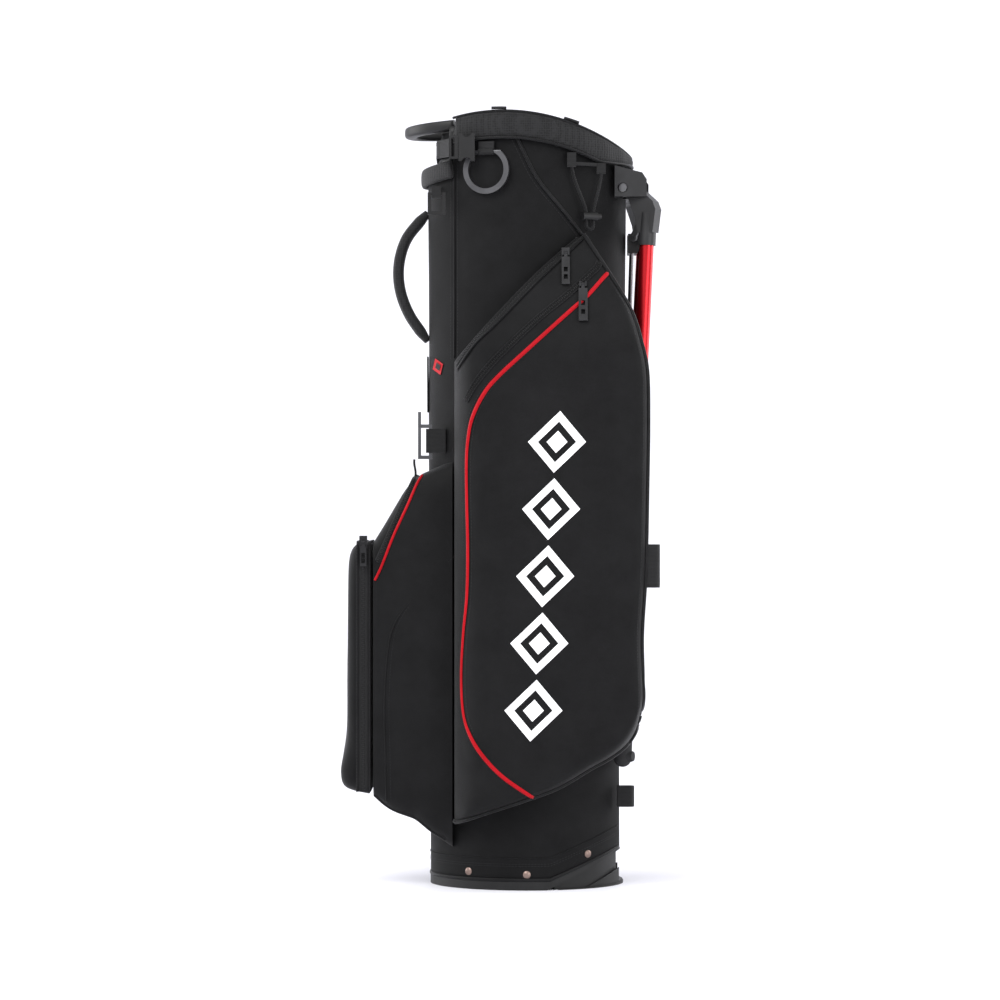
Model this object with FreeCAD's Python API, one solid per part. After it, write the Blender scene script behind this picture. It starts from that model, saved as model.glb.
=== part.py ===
"""Golf stand bag: a fabric tube on a moulded base, a four-way top, zipped pockets and two swing-out legs.

Frame: origin on the floor, on the bag's axis. +Z up, +X towards the legs, -Y is the near side.
Units are millimetres. Every sub-part is one STEP file in parts/.
"""
import FreeCAD
import Part
import math
import os

V = FreeCAD.Vector

# ---------------------------------------------------------------- driving dimensions
BODY_TOP_Z = 846.0
BODY_TOP_A = 112.8
BODY_TOP_B = 95.0
BODY_LOW_A = 109.5
BODY_LOW_B = 93.0
BODY_WALL = 1.6
CHANNEL_HALF = 26.0            # the flat behind the actuator wires
CHANNEL_TOP = (114.0, 740.0)
CHANNEL_LOW = (92.0, 60.0)

COLLAR_HEIGHT = 33.0
COLLAR_PROUD = 8.0
COLLAR_CENTRE_X = -31.0
COLLAR_CROWN_Z = 870.5
COLLAR_DROP = 0.00207          # how fast the collar's top edge falls away from its crown
COLLAR_REAR_X = -82.0
REAR_DIP_X = -98.5             # behind this the moulded ring stays low, under the strap

HEM_Z = 10.0
HEM_TURN_X = 25.0
HEM_SIDE = (112.0, 45.8)
CUP_WALL = 2.0
RAMP_ANGLE = 51.0
HINGE_X = 22.0
HINGE_Z = 5.0
HINGE_PIN_R = 2.5
SPLIT_END = (112.0, 44.0)      # where the split between cup and foot meets the leg side

POCKET_Y = -134.0              # flat front of the near pocket
POCKET_WALL = 2.0
SLOPE_Z = 600.0                # above this the near pocket's front leans back to the body
SLOPE_ANGLE = 15.7

LEG_SPLAY = 25.0               # the legs swing outwards at this angle from +X
LEG_PIVOT = (116.0, -40.0, 786.0)
LEG_TUBE_R = 8.0
LEG_PIN_R = 3.0
KNUCKLE_HALF = 9.0
LINK_NEAR_FACE = 10.5
LINK_FAR_FACE = 14.5
LINK_LOW = (-1.7, -53.9)       # u and z from the leg pivot
LINK_TOP = (14.0, -26.0)
WIRE_R = 2.0
WIRE_Y = 18.0
WIRE_LOW = (98.0, 25.0)
WIRE_TOP = (119.7, 735.0)
CROSSBAR_X = 66.0

RUN = 0.08                     # running clearance on a radius


# ---------------------------------------------------------------- small builders
def box(x0, x1, y0, y1, z0, z1):
    """A box between two corners."""
    return Part.makeBox(x1 - x0, y1 - y0, z1 - z0, V(x0, y0, z0))


def rod(start, end, radius):
    """A round bar between two points."""
    a = V(*start)
    b = V(*end)
    return Part.makeCylinder(radius, (b - a).Length, a, b - a)


def prism_xz(points, y0, y1):
    """A polygon in the XZ plane, pushed along Y."""
    wire = Part.makePolygon([V(x, y0, z) for x, z in points + points[:1]])
    return Part.Face(wire).extrude(V(0, y1 - y0, 0))


def prism_xy(points, z0, z1):
    """A polygon in the XY plane, pushed along Z."""
    wire = Part.makePolygon([V(x, y, z0) for x, y in points + points[:1]])
    return Part.Face(wire).extrude(V(0, 0, z1 - z0))


def prism_yz(points, x0, x1):
    """A polygon in the YZ plane, pushed along X."""
    wire = Part.makePolygon([V(x0, y, z) for y, z in points + points[:1]])
    return Part.Face(wire).extrude(V(x1 - x0, 0, 0))


def spline_prism_xz(runs, y0, y1):
    """A closed outline in XZ made of runs; a run of two points is a line and a longer one is a smooth curve."""
    edges = []
    for run in runs:
        points = [V(x, y0, z) for x, z in run]
        if len(points) == 2:
            edges.append(Part.makeLine(points[0], points[1]))
        else:
            curve = Part.BSplineCurve()
            curve.interpolate(points)
            edges.append(curve.toShape())
    return Part.Face(Part.Wire(edges)).extrude(V(0, y1 - y0, 0))


def inset(runs, centre, factor):
    """The same outline drawn closer to its centre."""
    cx, cz = centre
    return [[(cx + (x - cx) * factor, cz + (z - cz) * factor) for x, z in run] for run in runs]


def ellipse_face(a, b, z, cx=0.0):
    """An upright bag section; its long half-axis a lies along X."""
    return Part.Wire(Part.Ellipse(V(cx, 0, z), a, b).toShape())


def ellipse_column(a, b, z0, z1, cx=0.0):
    """A straight elliptical column."""
    return Part.Face(ellipse_face(a, b, z0, cx)).extrude(V(0, 0, z1 - z0))


def body_axes(z):
    """The two half-axes of the body at a height."""
    t = z / BODY_TOP_Z
    a = BODY_LOW_A + (BODY_TOP_A - BODY_LOW_A) * t
    b = BODY_LOW_B + (BODY_TOP_B - BODY_LOW_B) * t
    return a, b


def body_column(offset, z0=0.0, z1=900.0):
    """The tapering body, grown by offset, between two heights."""
    a0, b0 = body_axes(z0)
    a1, b1 = body_axes(z1)
    low = ellipse_face(a0 + offset, b0 + offset, z0)
    top = ellipse_face(a1 + offset, b1 + offset, z1)
    return Part.makeLoft([low, top], True, True)


def surface_y(x, z, offset=0.0):
    """Where the near side of the body, grown by offset, lies at x and z."""
    a, b = body_axes(z)
    return -(b + offset) * math.sqrt(1.0 - (x / (a + offset)) ** 2)


def bent_wire(points, radius, bend):
    """A round wire through points, with an arc of radius bend at each inner point."""
    p = [V(*q) for q in points]
    edges = []
    start = p[0]
    for i in range(1, len(p) - 1):
        before = (p[i - 1] - p[i]).normalize()
        after = (p[i + 1] - p[i]).normalize()
        half = before.getAngle(after) / 2.0
        reach = bend / math.tan(half)
        a = p[i] + before * reach
        b = p[i] + after * reach
        middle = (before + after).normalize() * (bend / math.sin(half) - bend)
        if (a - start).Length > 1e-6:
            edges.append(Part.LineSegment(start, a).toShape())
        edges.append(Part.Arc(a, p[i] + middle, b).toShape())
        start = b
    edges.append(Part.LineSegment(start, p[-1]).toShape())
    return swept(Part.Wire(edges), radius)


def swept(path, radius):
    """A round section carried along a path."""
    first = path.Edges[0]
    start = first.valueAt(first.FirstParameter)
    direction = first.tangentAt(first.FirstParameter)
    profile = Part.Wire(Part.Circle(start, direction, radius).toShape())
    return path.makePipeShell([profile], True, False)


def mirrored(shape):
    """The same shape on the far side."""
    return shape.mirror(V(0, 0, 0), V(0, 1, 0))


def joined(shapes):
    """Several touching solids made into one."""
    result = shapes[0]
    for shape in shapes[1:]:
        result = result.fuse(shape)
    return result.removeSplitter()


def group(shapes):
    """Separate solids kept in one node."""
    return Part.makeCompound(shapes)


# ---------------------------------------------------------------- base
def beyond_split(lift=0.0):
    """The wedge under the split line, which belongs to the foot."""
    return prism_xz([(HINGE_X, -20), (HINGE_X, lift), (SPLIT_END[0] + 20, SPLIT_END[1] + 9.7 + lift),
                     (SPLIT_END[0] + 20, -20)], -200, 200)


def ramp_points(extra):
    """The underside of the ramp that the foot folds up against, moved out by extra."""
    slope = math.radians(RAMP_ANGLE)
    run = 130.0
    nx = -math.sin(slope) * extra
    nz = math.cos(slope) * extra
    low = (HINGE_X + nx, 12.0 + nz)
    return low, (low[0] + run * math.cos(slope), low[1] + run * math.sin(slope))


def base_cup():
    """Moulded cup: visible rim, inner wall, flat floor and the ramp over the foot."""
    a, b = BODY_LOW_A - BODY_WALL - 0.3, BODY_LOW_B - BODY_WALL - 0.3
    wall = ellipse_column(a, b, 0, 118).cut(ellipse_column(a - CUP_WALL, b - CUP_WALL, -1, 119))
    wall = wall.common(prism_xz([(-130, 0), (140, 0), (140, 118), (72, 118), (-8, 45), (-130, 45)], -200, 200))
    rim = ellipse_column(BODY_LOW_A + 0.4, BODY_LOW_B + 0.4, 0, 60).cut(ellipse_column(a - 1, b - 1, -1, 61))
    rim = rim.common(prism_xz([(-130, 0), (130, 0), (130, 52.0), (HEM_SIDE[0], HEM_SIDE[1] - 0.4),
                               (HEM_TURN_X, HEM_Z - 0.4), (-130, HEM_Z - 0.4)], -200, 200))
    low, high = ramp_points(0.0)
    low_top, high_top = ramp_points(3.0)
    floor_line = [(-130, 0), (16, 0), (16, 11.5), low, high, high_top, low_top, (12.5, 13.9),
                  (12.5, 4), (-130, 4)]
    floor = ellipse_column(a - 0.5, b - 0.5, 0, 118).common(prism_xz(floor_line, -200, 200))
    cup = joined([wall, rim, floor]).cut(beyond_split())
    cup = cup.cut(rod((HINGE_X, -72, HINGE_Z), (HINGE_X, 72, HINGE_Z), 6.0))
    lugs = [hinge_lug(side) for side in (-1, 1)]
    cup = joined([cup] + lugs)
    cup = cup.cut(rod((HINGE_X, -80, HINGE_Z), (HINGE_X, 80, HINGE_Z), HINGE_PIN_R))
    return cup.cut(box(88, 130, -CHANNEL_HALF - 2, CHANNEL_HALF + 2, -1, 130))


def hinge_lug(side):
    """A lug that holds one end of the foot's hinge pin."""
    y0, y1 = sorted((side * 72.5, side * 86.0))
    lug = prism_xz([(10, 0), (HINGE_X, 0), (HINGE_X + 5, HINGE_Z), (HINGE_X + 3, 13), (10, 13)], y0, y1)
    return lug.common(ellipse_column(BODY_LOW_A - 3, BODY_LOW_B - 3, 0, 60))


def base_foot():
    """Hinged foot: a shallow wedge-shaped tray with two posts that lift the actuator wire."""
    a, b = BODY_LOW_A - BODY_WALL - CUP_WALL - 0.9, BODY_LOW_B - BODY_WALL - CUP_WALL - 0.9
    inner_top = prism_xz([(30, 0), (30, 5.9), (130, 54.8), (130, 0)], -200, 200)
    outer_top = prism_xz([(64, 0), (130, 0), (130, 32)], -200, 200)
    tray = ellipse_column(a, b, 0, 60).common(inner_top)
    tray = tray.cut(ellipse_column(a - 3, b - 3, 4, 61))
    bulge = ellipse_column(a, b, 0, 60, 3.6).common(outer_top)
    bulge = bulge.cut(ellipse_column(a - 3, b - 3, 4, 61))
    lip = ellipse_column(BODY_LOW_A, BODY_LOW_B, 0, 5)
    lip = lip.common(prism_xz([(34, 0), (34, 0.3), (112, 2.5), (112, 0)], -200, 200))
    barrel = rod((HINGE_X, -71.5, HINGE_Z), (HINGE_X, 71.5, HINGE_Z), 4.9)
    web = box(HINGE_X, 36, -71.5, 71.5, 0.1, 4)
    posts = [box(CROSSBAR_X - 4, CROSSBAR_X + 4, y, y + 8, 3, 21.9) for y in (-14, 6)]
    foot = joined([tray, bulge, lip, barrel, web] + posts)
    foot = foot.cut(rod((HINGE_X, -80, HINGE_Z), (HINGE_X, 80, HINGE_Z), HINGE_PIN_R + RUN))
    return foot.cut(box(88, 130, -CHANNEL_HALF, CHANNEL_HALF, 4, 60))


def foot_hinge_pin():
    """Steel pin that the foot turns on."""
    return rod((HINGE_X, -80, HINGE_Z), (HINGE_X, 80, HINGE_Z), HINGE_PIN_R)


def base_rivets():
    """Domed rivets that hold the skirt to the cup, three a side."""
    heads = []
    for x, z in ((-66.0, 19.6), (-1.0, 17.5), (67.5, 39.0)):
        y = surface_y(x, z)
        normal = V(x / BODY_LOW_A ** 2, y / BODY_LOW_B ** 2, 0).normalize()
        shank = Part.makeCylinder(1.9, 3.2, V(x, y, z) - normal * 2.6, normal)
        dome = Part.makeSphere(7.0, V(x, y, z) - normal * 5.2)
        cap = dome.common(Part.makeCylinder(4.3, 4.0, V(x, y, z) + normal * 0.3, normal))
        heads.append(shank.fuse(cap))
    return group(heads + [mirrored(h) for h in heads])


# ---------------------------------------------------------------- body
def channel(depth=0.0):
    """The space that the actuator wires run in, made deeper by depth."""
    half = CHANNEL_HALF + depth
    (xt, zt), (xl, zl) = CHANNEL_TOP, CHANNEL_LOW
    slope = (xt - xl) / (zt - zl)
    x_low = xl + slope * (-20 - zl) - depth
    x_high = xt + slope * (900 - zt) - depth
    return prism_xz([(x_low, -20), (x_high, 900), (200, 900), (200, -20)], -half, half)


def under_hem():
    """Everything under the skirt's hem line."""
    return prism_xz([(-200, -20), (-200, HEM_Z), (HEM_TURN_X, HEM_Z), HEM_SIDE, (200, 81), (200, -20)], -200, 200)


def body_shell():
    """The fabric tube, open at the top, with the flat on the leg side."""
    outer = body_column(0.0, 0.0, BODY_TOP_Z).cut(channel())
    inner = body_column(-BODY_WALL, -5.0, BODY_TOP_Z + 5.0).cut(channel(BODY_WALL))
    shell = outer.cut(inner).cut(under_hem())
    top_cut = prism_xz([(-200, 787), (-84, 787), (-80, 832), (-31, 841), (60, 826), (140, 805), (140, 950),
                        (-200, 950)], -200, 200)
    return shell.cut(top_cut)


def frame_stays():
    """Three flat stays inside the fabric that keep the top and the base apart."""
    stays = []
    for angle, top in ((105.0, 824.0), (180.0, 791.6), (255.0, 824.0)):
        c, s = math.cos(math.radians(angle)), math.sin(math.radians(angle))
        points = []
        for z in (45.2, top):
            a, b = body_axes(z)
            points.append(V((a - 5.5) * c, (b - 5.5) * s, z))
        axis = points[1] - points[0]
        stay = Part.makeCylinder(3.0, axis.Length, points[0], axis)
        stays.append(stay)
    return group(stays)


# ---------------------------------------------------------------- top
def collar_arc_z(x, lower=0.0):
    """Height of the collar's crown line at x."""
    return COLLAR_CROWN_Z - COLLAR_DROP * (x - COLLAR_CENTRE_X) ** 2 - lower


def collar_band(lower, upper, x0, x1):
    """The region between two copies of the crown line, from x0 to x1."""
    count = 9
    xs = [x0 + (x1 - x0) * i / (count - 1) for i in range(count)]
    top = [(x, collar_arc_z(x, upper)) for x in xs]
    low = [(x, collar_arc_z(x, lower)) for x in reversed(xs)]
    return spline_prism_xz([top, [top[-1], low[0]], low, [low[-1], top[0]]], -200, 200)


def oval_ring(outer, inner, z0=700.0, z1=900.0):
    """A ring between two growths of the body's top section."""
    a, b = BODY_TOP_A, BODY_TOP_B
    return ellipse_column(a + outer, b + outer, z0, z1).cut(ellipse_column(a + inner, b + inner, z0 - 1, z1 + 1))


def cuff_frame():
    """Moulded ring inside the top, with the grab handle that stands out at the rear."""
    ring = oval_ring(-2.2, -6.2).common(collar_band(46.0, 6.0, -125, 125))
    rear = oval_ring(-2.2, -6.2).common(box(-130, -76, -120, 120, 792, 848))
    dip = box(-130, REAR_DIP_X, -60, 60, 812, 900)
    ring = ring.cut(dip)
    rear = rear.cut(dip)
    grip_outer = ellipse_column(139.0 - 60.0, 62.0, 700, 900, -60.0)
    grip_inner = ellipse_column(139.0 - 60.0 - 15.0, 50.0, 699, 901, -60.0)
    slope = prism_xz([(-145, 844.5), (-145, 857.0), (-60, 863.0), (-60, 850.3)], -100, 100)
    grip = grip_outer.cut(grip_inner).common(slope).common(box(-150, -83, -70, 70, 700, 900))
    posts = [box(-90, -70, side * 56 - 6, side * 56 + 6, 800, 855) for side in (-1, 1)]
    posts = [p.common(oval_ring(-2.2, -16.0)) for p in posts]
    return joined([ring, rear, grip] + posts)


def cuff_pad():
    """Padded mesh collar round the top, ending short of the rear."""
    ring = oval_ring(COLLAR_PROUD, 0.3)
    side = ring.common(collar_band(COLLAR_HEIGHT, 0.0, COLLAR_REAR_X, 124.0))
    cap = oval_ring(COLLAR_PROUD, -7.0).common(collar_band(5.6, 0.0, COLLAR_REAR_X, 124.0))
    return joined([side, cap])


def rear_pad():
    """The low padded roll round the rear of the top, under the grab handle."""
    ring = oval_ring(COLLAR_PROUD, 0.3)
    band = prism_xz([(-84.5, 796), (-84.5, 816), (-125, 809), (-125, 788)], -200, 200)
    return ring.common(band)


def divider_bars():
    """The bars of the four-way top: two across, one between them along the middle."""
    bars = []
    for x in (-32.0, 49.0):
        z = collar_arc_z(x)
        bar = prism_yz([(-94, z - 20), (-94, z - 11), (-60, z - 3), (60, z - 3), (94, z - 11), (94, z - 20)],
                       x - 7, x + 7)
        bar = bar.common(ellipse_column(BODY_TOP_A - 6.2, BODY_TOP_B - 6.2, 700, 900))
        bars.append(bar.cut(oval_ring(20.0, -7.3).common(collar_band(6.0, -9.0, x - 12, x + 12))))
    middle = prism_xz([(-24.6, 846), (-24.6, 866), (41.6, 857), (41.6, 837)], -6, 6)
    return group(bars + [middle])


def divider_knobs():
    """The two moulded studs on the collar where the cross bars end."""
    studs = []
    for x in (-32.0, 49.0):
        y = surface_y(x, 846.0, COLLAR_PROUD - 4.0)
        z = collar_arc_z(x)
        stud = box(x - 9, x + 9, y - 5, y + 5, z - 2.0, z + 2.6).cut(collar_band(12.0, -0.3, x - 12, x + 12))
        studs.append(stud)
        studs.append(mirrored(stud))
    return group(studs)


def divider_panels():
    """Fabric panels that hang from the bars and part the clubs for the bag's length."""
    panels = []
    reach = ellipse_column(BODY_LOW_A - 9, BODY_LOW_B - 9, 0, 900)
    for x in (-32.0, 49.0):
        z = collar_arc_z(x) - 20.4
        floor = 8.0 if x < 0 else 60.0
        panels.append(box(x - 0.8, x + 0.8, -120, 120, floor, z).common(reach))
    panels.append(box(-30.6, 47.6, -0.8, 0.8, 60.0, 836.0))
    return group(panels)


# ---------------------------------------------------------------- pockets
def pocket_outline():
    """Outline of the near pocket, in XZ: seam, lower edge, round lower corner, side and upper diagonal."""
    return [
        [(-82, 590), (-82, 74)],
        [(-82, 74), (-50, 87), (-8, 101), (33, 116), (68, 136), (99, 153), (121, 176), (128, 206)],
        [(128, 206), (126, 282), (130, 354), (132, 449), (133, 545), (133, 576)],
        [(133, 576), (128, 605), (116, 641), (102, 667), (83, 698), (62, 731)],
        [(62, 731), (12, 687), (-36, 640), (-82, 590)],
    ]


def pocket_plan(y_front):
    """Cross-section of the near pocket: it leaves the body at the seam and stands square at the leg side."""
    return [(-84, -40), (-84, -66), (-72, -112), (-56, -128), (-44, y_front), (116, y_front),
            (128, y_front + 5), (133, y_front + 18), (98, -70), (60, -40)]


def pocket_profile(y_front):
    """Side profile of the near pocket: flat, falling back to the body at its top and bottom."""
    rise = 180.0
    back = rise * math.tan(math.radians(SLOPE_ANGLE))
    return [(0, 40), (-88, 60), (-118, 80), (y_front, 130), (y_front, SLOPE_Z), (y_front + back, SLOPE_Z + rise),
            (0, SLOPE_Z + rise)]


def red_line_region():
    """What the red piping encloses."""
    return [
        [(84, 700), (50, 649), (7, 613), (-36, 570), (-53, 545)],
        [(-53, 545), (-64, 510), (-68, 473), (-68, 380), (-66, 290), (-70, 230), (-69, 200), (-64, 176)],
        [(-64, 176), (-50, 153), (-28, 130), (6, 104)],
        [(6, 104), (6, 0)],
        [(6, 0), (200, 0)],
        [(200, 0), (200, 700)],
        [(200, 700), (84, 700)],
    ]


def near_pocket(inner):
    """The near pocket's outer form, or the hollow inside it."""
    runs = pocket_outline()
    y_front = POCKET_Y
    plan = pocket_plan(y_front)
    if inner:
        runs = inset(runs, (25, 400), 0.975)
        y_front = POCKET_Y + POCKET_WALL
        plan = [(x * 0.975 + 0.6, y + POCKET_WALL) for x, y in plan]
    form = spline_prism_xz(runs, -200, 0).common(prism_xy(plan, 0, 900))
    form = form.common(prism_yz(pocket_profile(y_front), -200, 200))
    return form.cut(body_column(0.4 + (POCKET_WALL if inner else 0.0)))


def garment_pocket():
    """The large pocket inside the red piping."""
    front = spline_prism_xz(red_line_region(), -200, 0)
    hollow = spline_prism_xz(inset(red_line_region(), (60, 400), 0.97), -200, 0)
    return near_pocket(False).common(front).cut(near_pocket(True).common(hollow))


def upper_pocket():
    """The slimmer pocket around the large one, with the diagonal zip."""
    front = spline_prism_xz(inset(red_line_region(), (60, 400), 1.006), -200, 0)
    hollow = spline_prism_xz(inset(red_line_region(), (60, 400), 1.04), -200, 0)
    pocket = near_pocket(False).cut(front).cut(near_pocket(True).cut(hollow))
    solids = [s for s in pocket.Solids if s.Volume > 500.0]
    return group(solids)


def garment_pocket_far():
    """The far side's pocket in one piece."""
    return mirrored(near_pocket(False).cut(near_pocket(True)))


def strip_on_face(points, y_front, width, thick):
    """A flat strip on a pocket's front, following points in XZ; near side."""
    pieces = []
    for (x0, z0), (x1, z1) in zip(points, points[1:]):
        along = V(x1 - x0, 0, z1 - z0)
        across = V(-along.z, 0, along.x).normalize() * (width / 2)
        a = V(x0, y_front, z0)
        b = V(x1, y_front, z1)
        wire = Part.makePolygon([a + across, b + across, b - across, a - across, a + across])
        pieces.append(Part.Face(wire).extrude(V(0, -thick, 0)))
    for x, z in points[1:-1]:
        pieces.append(Part.makeCylinder(width / 2, thick, V(x, y_front, z), V(0, -1, 0)))
    return joined(pieces)


ZIP_A = [(-40, 630), (10, 684), (52, 720)]
ZIP_B = [(-18, 604), (12, 633), (46, 661), (74, 688)]
RED_LINE = [(2, 607), (16, 621), (48, 650), (80, 679)]
SIDE_BORDER = [(115, 576), (115, 400), (113, 282), (110, 210), (97, 172)]


def on_slope(shape):
    """A shape built on the pocket's upright front, leaned back onto its sloping upper part."""
    leaned = shape.copy()
    leaned.rotate(V(0, POCKET_Y, SLOPE_Z), V(1, 0, 0), -SLOPE_ANGLE)
    return leaned


def zip_chain(points, y_front):
    """A zip's tape and teeth."""
    return strip_on_face(points, y_front - 0.1, 7.0, 1.4)


def piping(lines, y_front, size):
    """Corded edging along a pocket's front."""
    return group([strip_on_face(line, y_front - 0.1, size, size * 0.45) for line in lines])


def zip_slider(place, y_front):
    """A zip slider: body, two lugs and the pin its pull hangs from. Near side."""
    x, z = place
    base = box(x - 4.5, x + 4.5, y_front - 4.2, y_front - 1.8, z - 7, z + 7)
    lugs = [box(x + s * 3.2 - 0.9, x + s * 3.2 + 0.9, y_front - 8.4, y_front - 4.2, z - 3, z + 3) for s in (-1, 1)]
    pin = rod((x - 4.0, y_front - 6.6, z), (x + 4.0, y_front - 6.6, z), 1.0)
    return joined([base] + lugs + [pin])


def zip_pull(place, y_front, width, length):
    """A flat pull tab with an eye at the top and two square holes."""
    x, z = place
    y = y_front - 6.6
    eye = rod((x - 1.9, y, z), (x + 1.9, y, z), 1.9)
    neck = box(x - 1.9, x + 1.9, y - 1.1, y + 1.1, z - 6, z)
    tab = box(x - width / 2, x + width / 2, y - 1.3, y + 1.3, z - 5 - length, z - 5)
    holes = [box(x - 2.2, x + 2.2, y - 3, y + 3, z - 8 - length * k, z - 2.5 - length * k) for k in (0.45, 0.72)]
    pull = joined([eye, neck, tab])
    for hole in holes:
        pull = pull.cut(hole)
    return pull.cut(rod((x - 3, y, z), (x + 3, y, z), 1.0 + RUN))


SLIDER_A = (42.0, 711.5)
SLIDER_B = (61.0, 675.0)
BALL_ZIP_X = -184.0
BALL_ZIP_Z = (104.0, 382.0)
BALL_SIDE_Y = -66.0
SLIDER_D = (BALL_ZIP_X, 388.0)


# ---------------------------------------------------------------- ball side
def side_plan(offset):
    """Cross-section of the side pocket, narrowing away from the body."""
    h = offset
    return [(-60, -82 - h), (-110, -78 - h), (-172, -70 - h), (-172, 70 + h), (-110, 78 + h), (-60, 82 + h)]


def side_outline(offset):
    """Side view of the side pocket."""
    h = offset
    return [(-60, 500), (-104, 470 + h), (-130, 458 + h), (-150, 424 + h), (-172.6 - h, 388 + h),
            (-172.6 - h, 101 - h), (-151, 84 - h), (-126, 75 - h), (-104, 58 - h), (-60, 30)]


def side_pocket():
    """The pocket that carries the ball pocket, joined to the body's rear."""
    outer = prism_xz(side_outline(0), -200, 200).common(prism_xy(side_plan(0), 0, 900))
    inner = prism_xz(side_outline(-2.0), -200, 200).common(prism_xy(side_plan(-2.0), 0, 900))
    keep = box(-250, -84, -200, 200, 0, 900)
    outer = outer.cut(body_column(0.4)).common(keep)
    inner = inner.cut(body_column(2.4)).common(box(-250, -86, -200, 200, 0, 900))
    return outer.cut(inner)


def ball_form(h):
    """The ball pocket's form, grown by h."""
    outline = [(-173.2, 388 + h), (-196 - h, 386 + h), (-203 - h, 372), (-203 - h, 160), (-211 - h, 126),
               (-206 - h, 114 - h), (-190, 109 - h), (-173.2, 102 - h)]
    plan = [(-173.2, BALL_SIDE_Y - h), (-192, BALL_SIDE_Y - h), (-203 - h, BALL_SIDE_Y + 14), (-211.5 - h, -30),
            (-211.5 - h, 30), (-203 - h, 14 - BALL_SIDE_Y), (-192, h - BALL_SIDE_Y), (-173.2, h - BALL_SIDE_Y)]
    return prism_xz(outline, -200, 200).common(prism_xy(plan, 0, 900))


def ball_pocket():
    """The ball pocket at the outer end of the side pocket."""
    return ball_form(0).cut(ball_form(-2.0).common(box(-250, -175.2, -200, 200, 0, 900)))


# ---------------------------------------------------------------- stand
def leg_frame(u, n, z, side=-1):
    """A point given along the swing direction, across it and up, measured from the leg's pivot."""
    splay = math.radians(LEG_SPLAY)
    px, py, pz = LEG_PIVOT
    x = px + u * math.cos(splay) + n * math.sin(splay)
    y = py - u * math.sin(splay) + n * math.cos(splay)
    return V(x, y if side < 0 else -y, pz + z)


def leg_plate(points, n0, n1):
    """A polygon in the leg's swing plane, thick from n0 to n1; n grows towards the bag's middle."""
    wire = Part.makePolygon([leg_frame(u, n0, z) for u, z in points + points[:1]])
    return Part.Face(wire).extrude(leg_frame(0, n1, 0) - leg_frame(0, n0, 0))


def leg_bar(u, z, n0, n1, radius):
    """A round bar across the leg's swing plane."""
    a = leg_frame(u, n0, z)
    b = leg_frame(u, n1, z)
    return Part.makeCylinder(radius, (b - a).Length, a, b - a)


def leg_bracket():
    """Moulded bracket that carries both legs, shaped to the body and slotted for the knuckles."""
    block = prism_xz([(98, 776), (137, 776), (137, 791), (129, 803), (98, 811)], -60, 60)
    block = block.cut(body_column(0.4))
    slot = leg_plate([(-13, -40), (60, -40), (60, 10.8), (-13, 10.8)], -10.5, 10.5)
    hole = leg_bar(0, 0, -30, 19.5, LEG_PIN_R)
    recess = leg_bar(0, 0, -40, -19, 5.5)
    near = joined([slot, hole, recess])
    return block.cut(near).cut(mirrored(near))


def leg_pins():
    """Steel pins that the legs turn on."""
    pin = joined([leg_bar(0, 0, -19, 19, LEG_PIN_R), leg_bar(0, 0, -21, -19, 4.8)])
    return group([pin, mirrored(pin)])


TUBE_TOP = (21.9, 0.0, -34.0)      # leg axis in the leg frame: u, n, z
TUBE_LOW = (-2.2, -16.5, -641.0)


def tube_point(t):
    """A point on the leg's axis; t runs from 0 at the knuckle to 1 at the foot."""
    return leg_frame(*[a + (b - a) * t for a, b in zip(TUBE_TOP, TUBE_LOW)])


def leg_knuckle():
    """Moulded knuckle: boss on the leg pin, arm, socket for the tube and the stud for the link."""
    outline = [(-8.5, 1), (-6, 6.5), (0, 9), (6, 6.5), (14, 0), (31, -15), (34.5, -24), (31, -50), (13, -50),
               (10, -34), (2, -13), (-7, -7)]
    plate = leg_plate(outline, -KNUCKLE_HALF, KNUCKLE_HALF)
    start = tube_point(-0.01)
    end = tube_point(0.05)
    socket = Part.makeCylinder(10.0, (end - start).Length, start, end - start)
    bore = Part.makeCylinder(LEG_TUBE_R + 0.05, 200.0, tube_point(0.005), end - start)
    stud = leg_bar(LINK_TOP[0], LINK_TOP[1], KNUCKLE_HALF - 1, LINK_FAR_FACE + 0.8, 2.5)
    knuckle = joined([plate, socket, stud]).cut(bore)
    return knuckle.cut(leg_bar(0, 0, -12, 12, LEG_PIN_R + RUN))


def leg_tube():
    """Anodised aluminium tube."""
    start = tube_point(0.006)
    axis = tube_point(0.985) - start
    outer = Part.makeCylinder(LEG_TUBE_R, axis.Length, start, axis)
    return outer.cut(Part.makeCylinder(LEG_TUBE_R - 1.2, axis.Length, start, axis))


def leg_foot():
    """Rubber foot with a toe that points away from the bag."""
    top = tube_point(0.935)
    heel = tube_point(1.0)
    axis = heel - top
    sleeve = Part.makeCylinder(10.2, axis.Length, top, axis)
    cup = Part.makeSphere(10.2, heel)
    u = leg_frame(1, 0, 0) - leg_frame(0, 0, 0)
    toe = Part.makeCone(8.5, 5.5, 9.0, heel + V(0, 0, 2) + u * 4.0, u)
    foot = joined([sleeve, cup, toe])
    return foot.cut(Part.makeCylinder(LEG_TUBE_R + 0.05, axis.Length * 0.8, top, axis))


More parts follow.
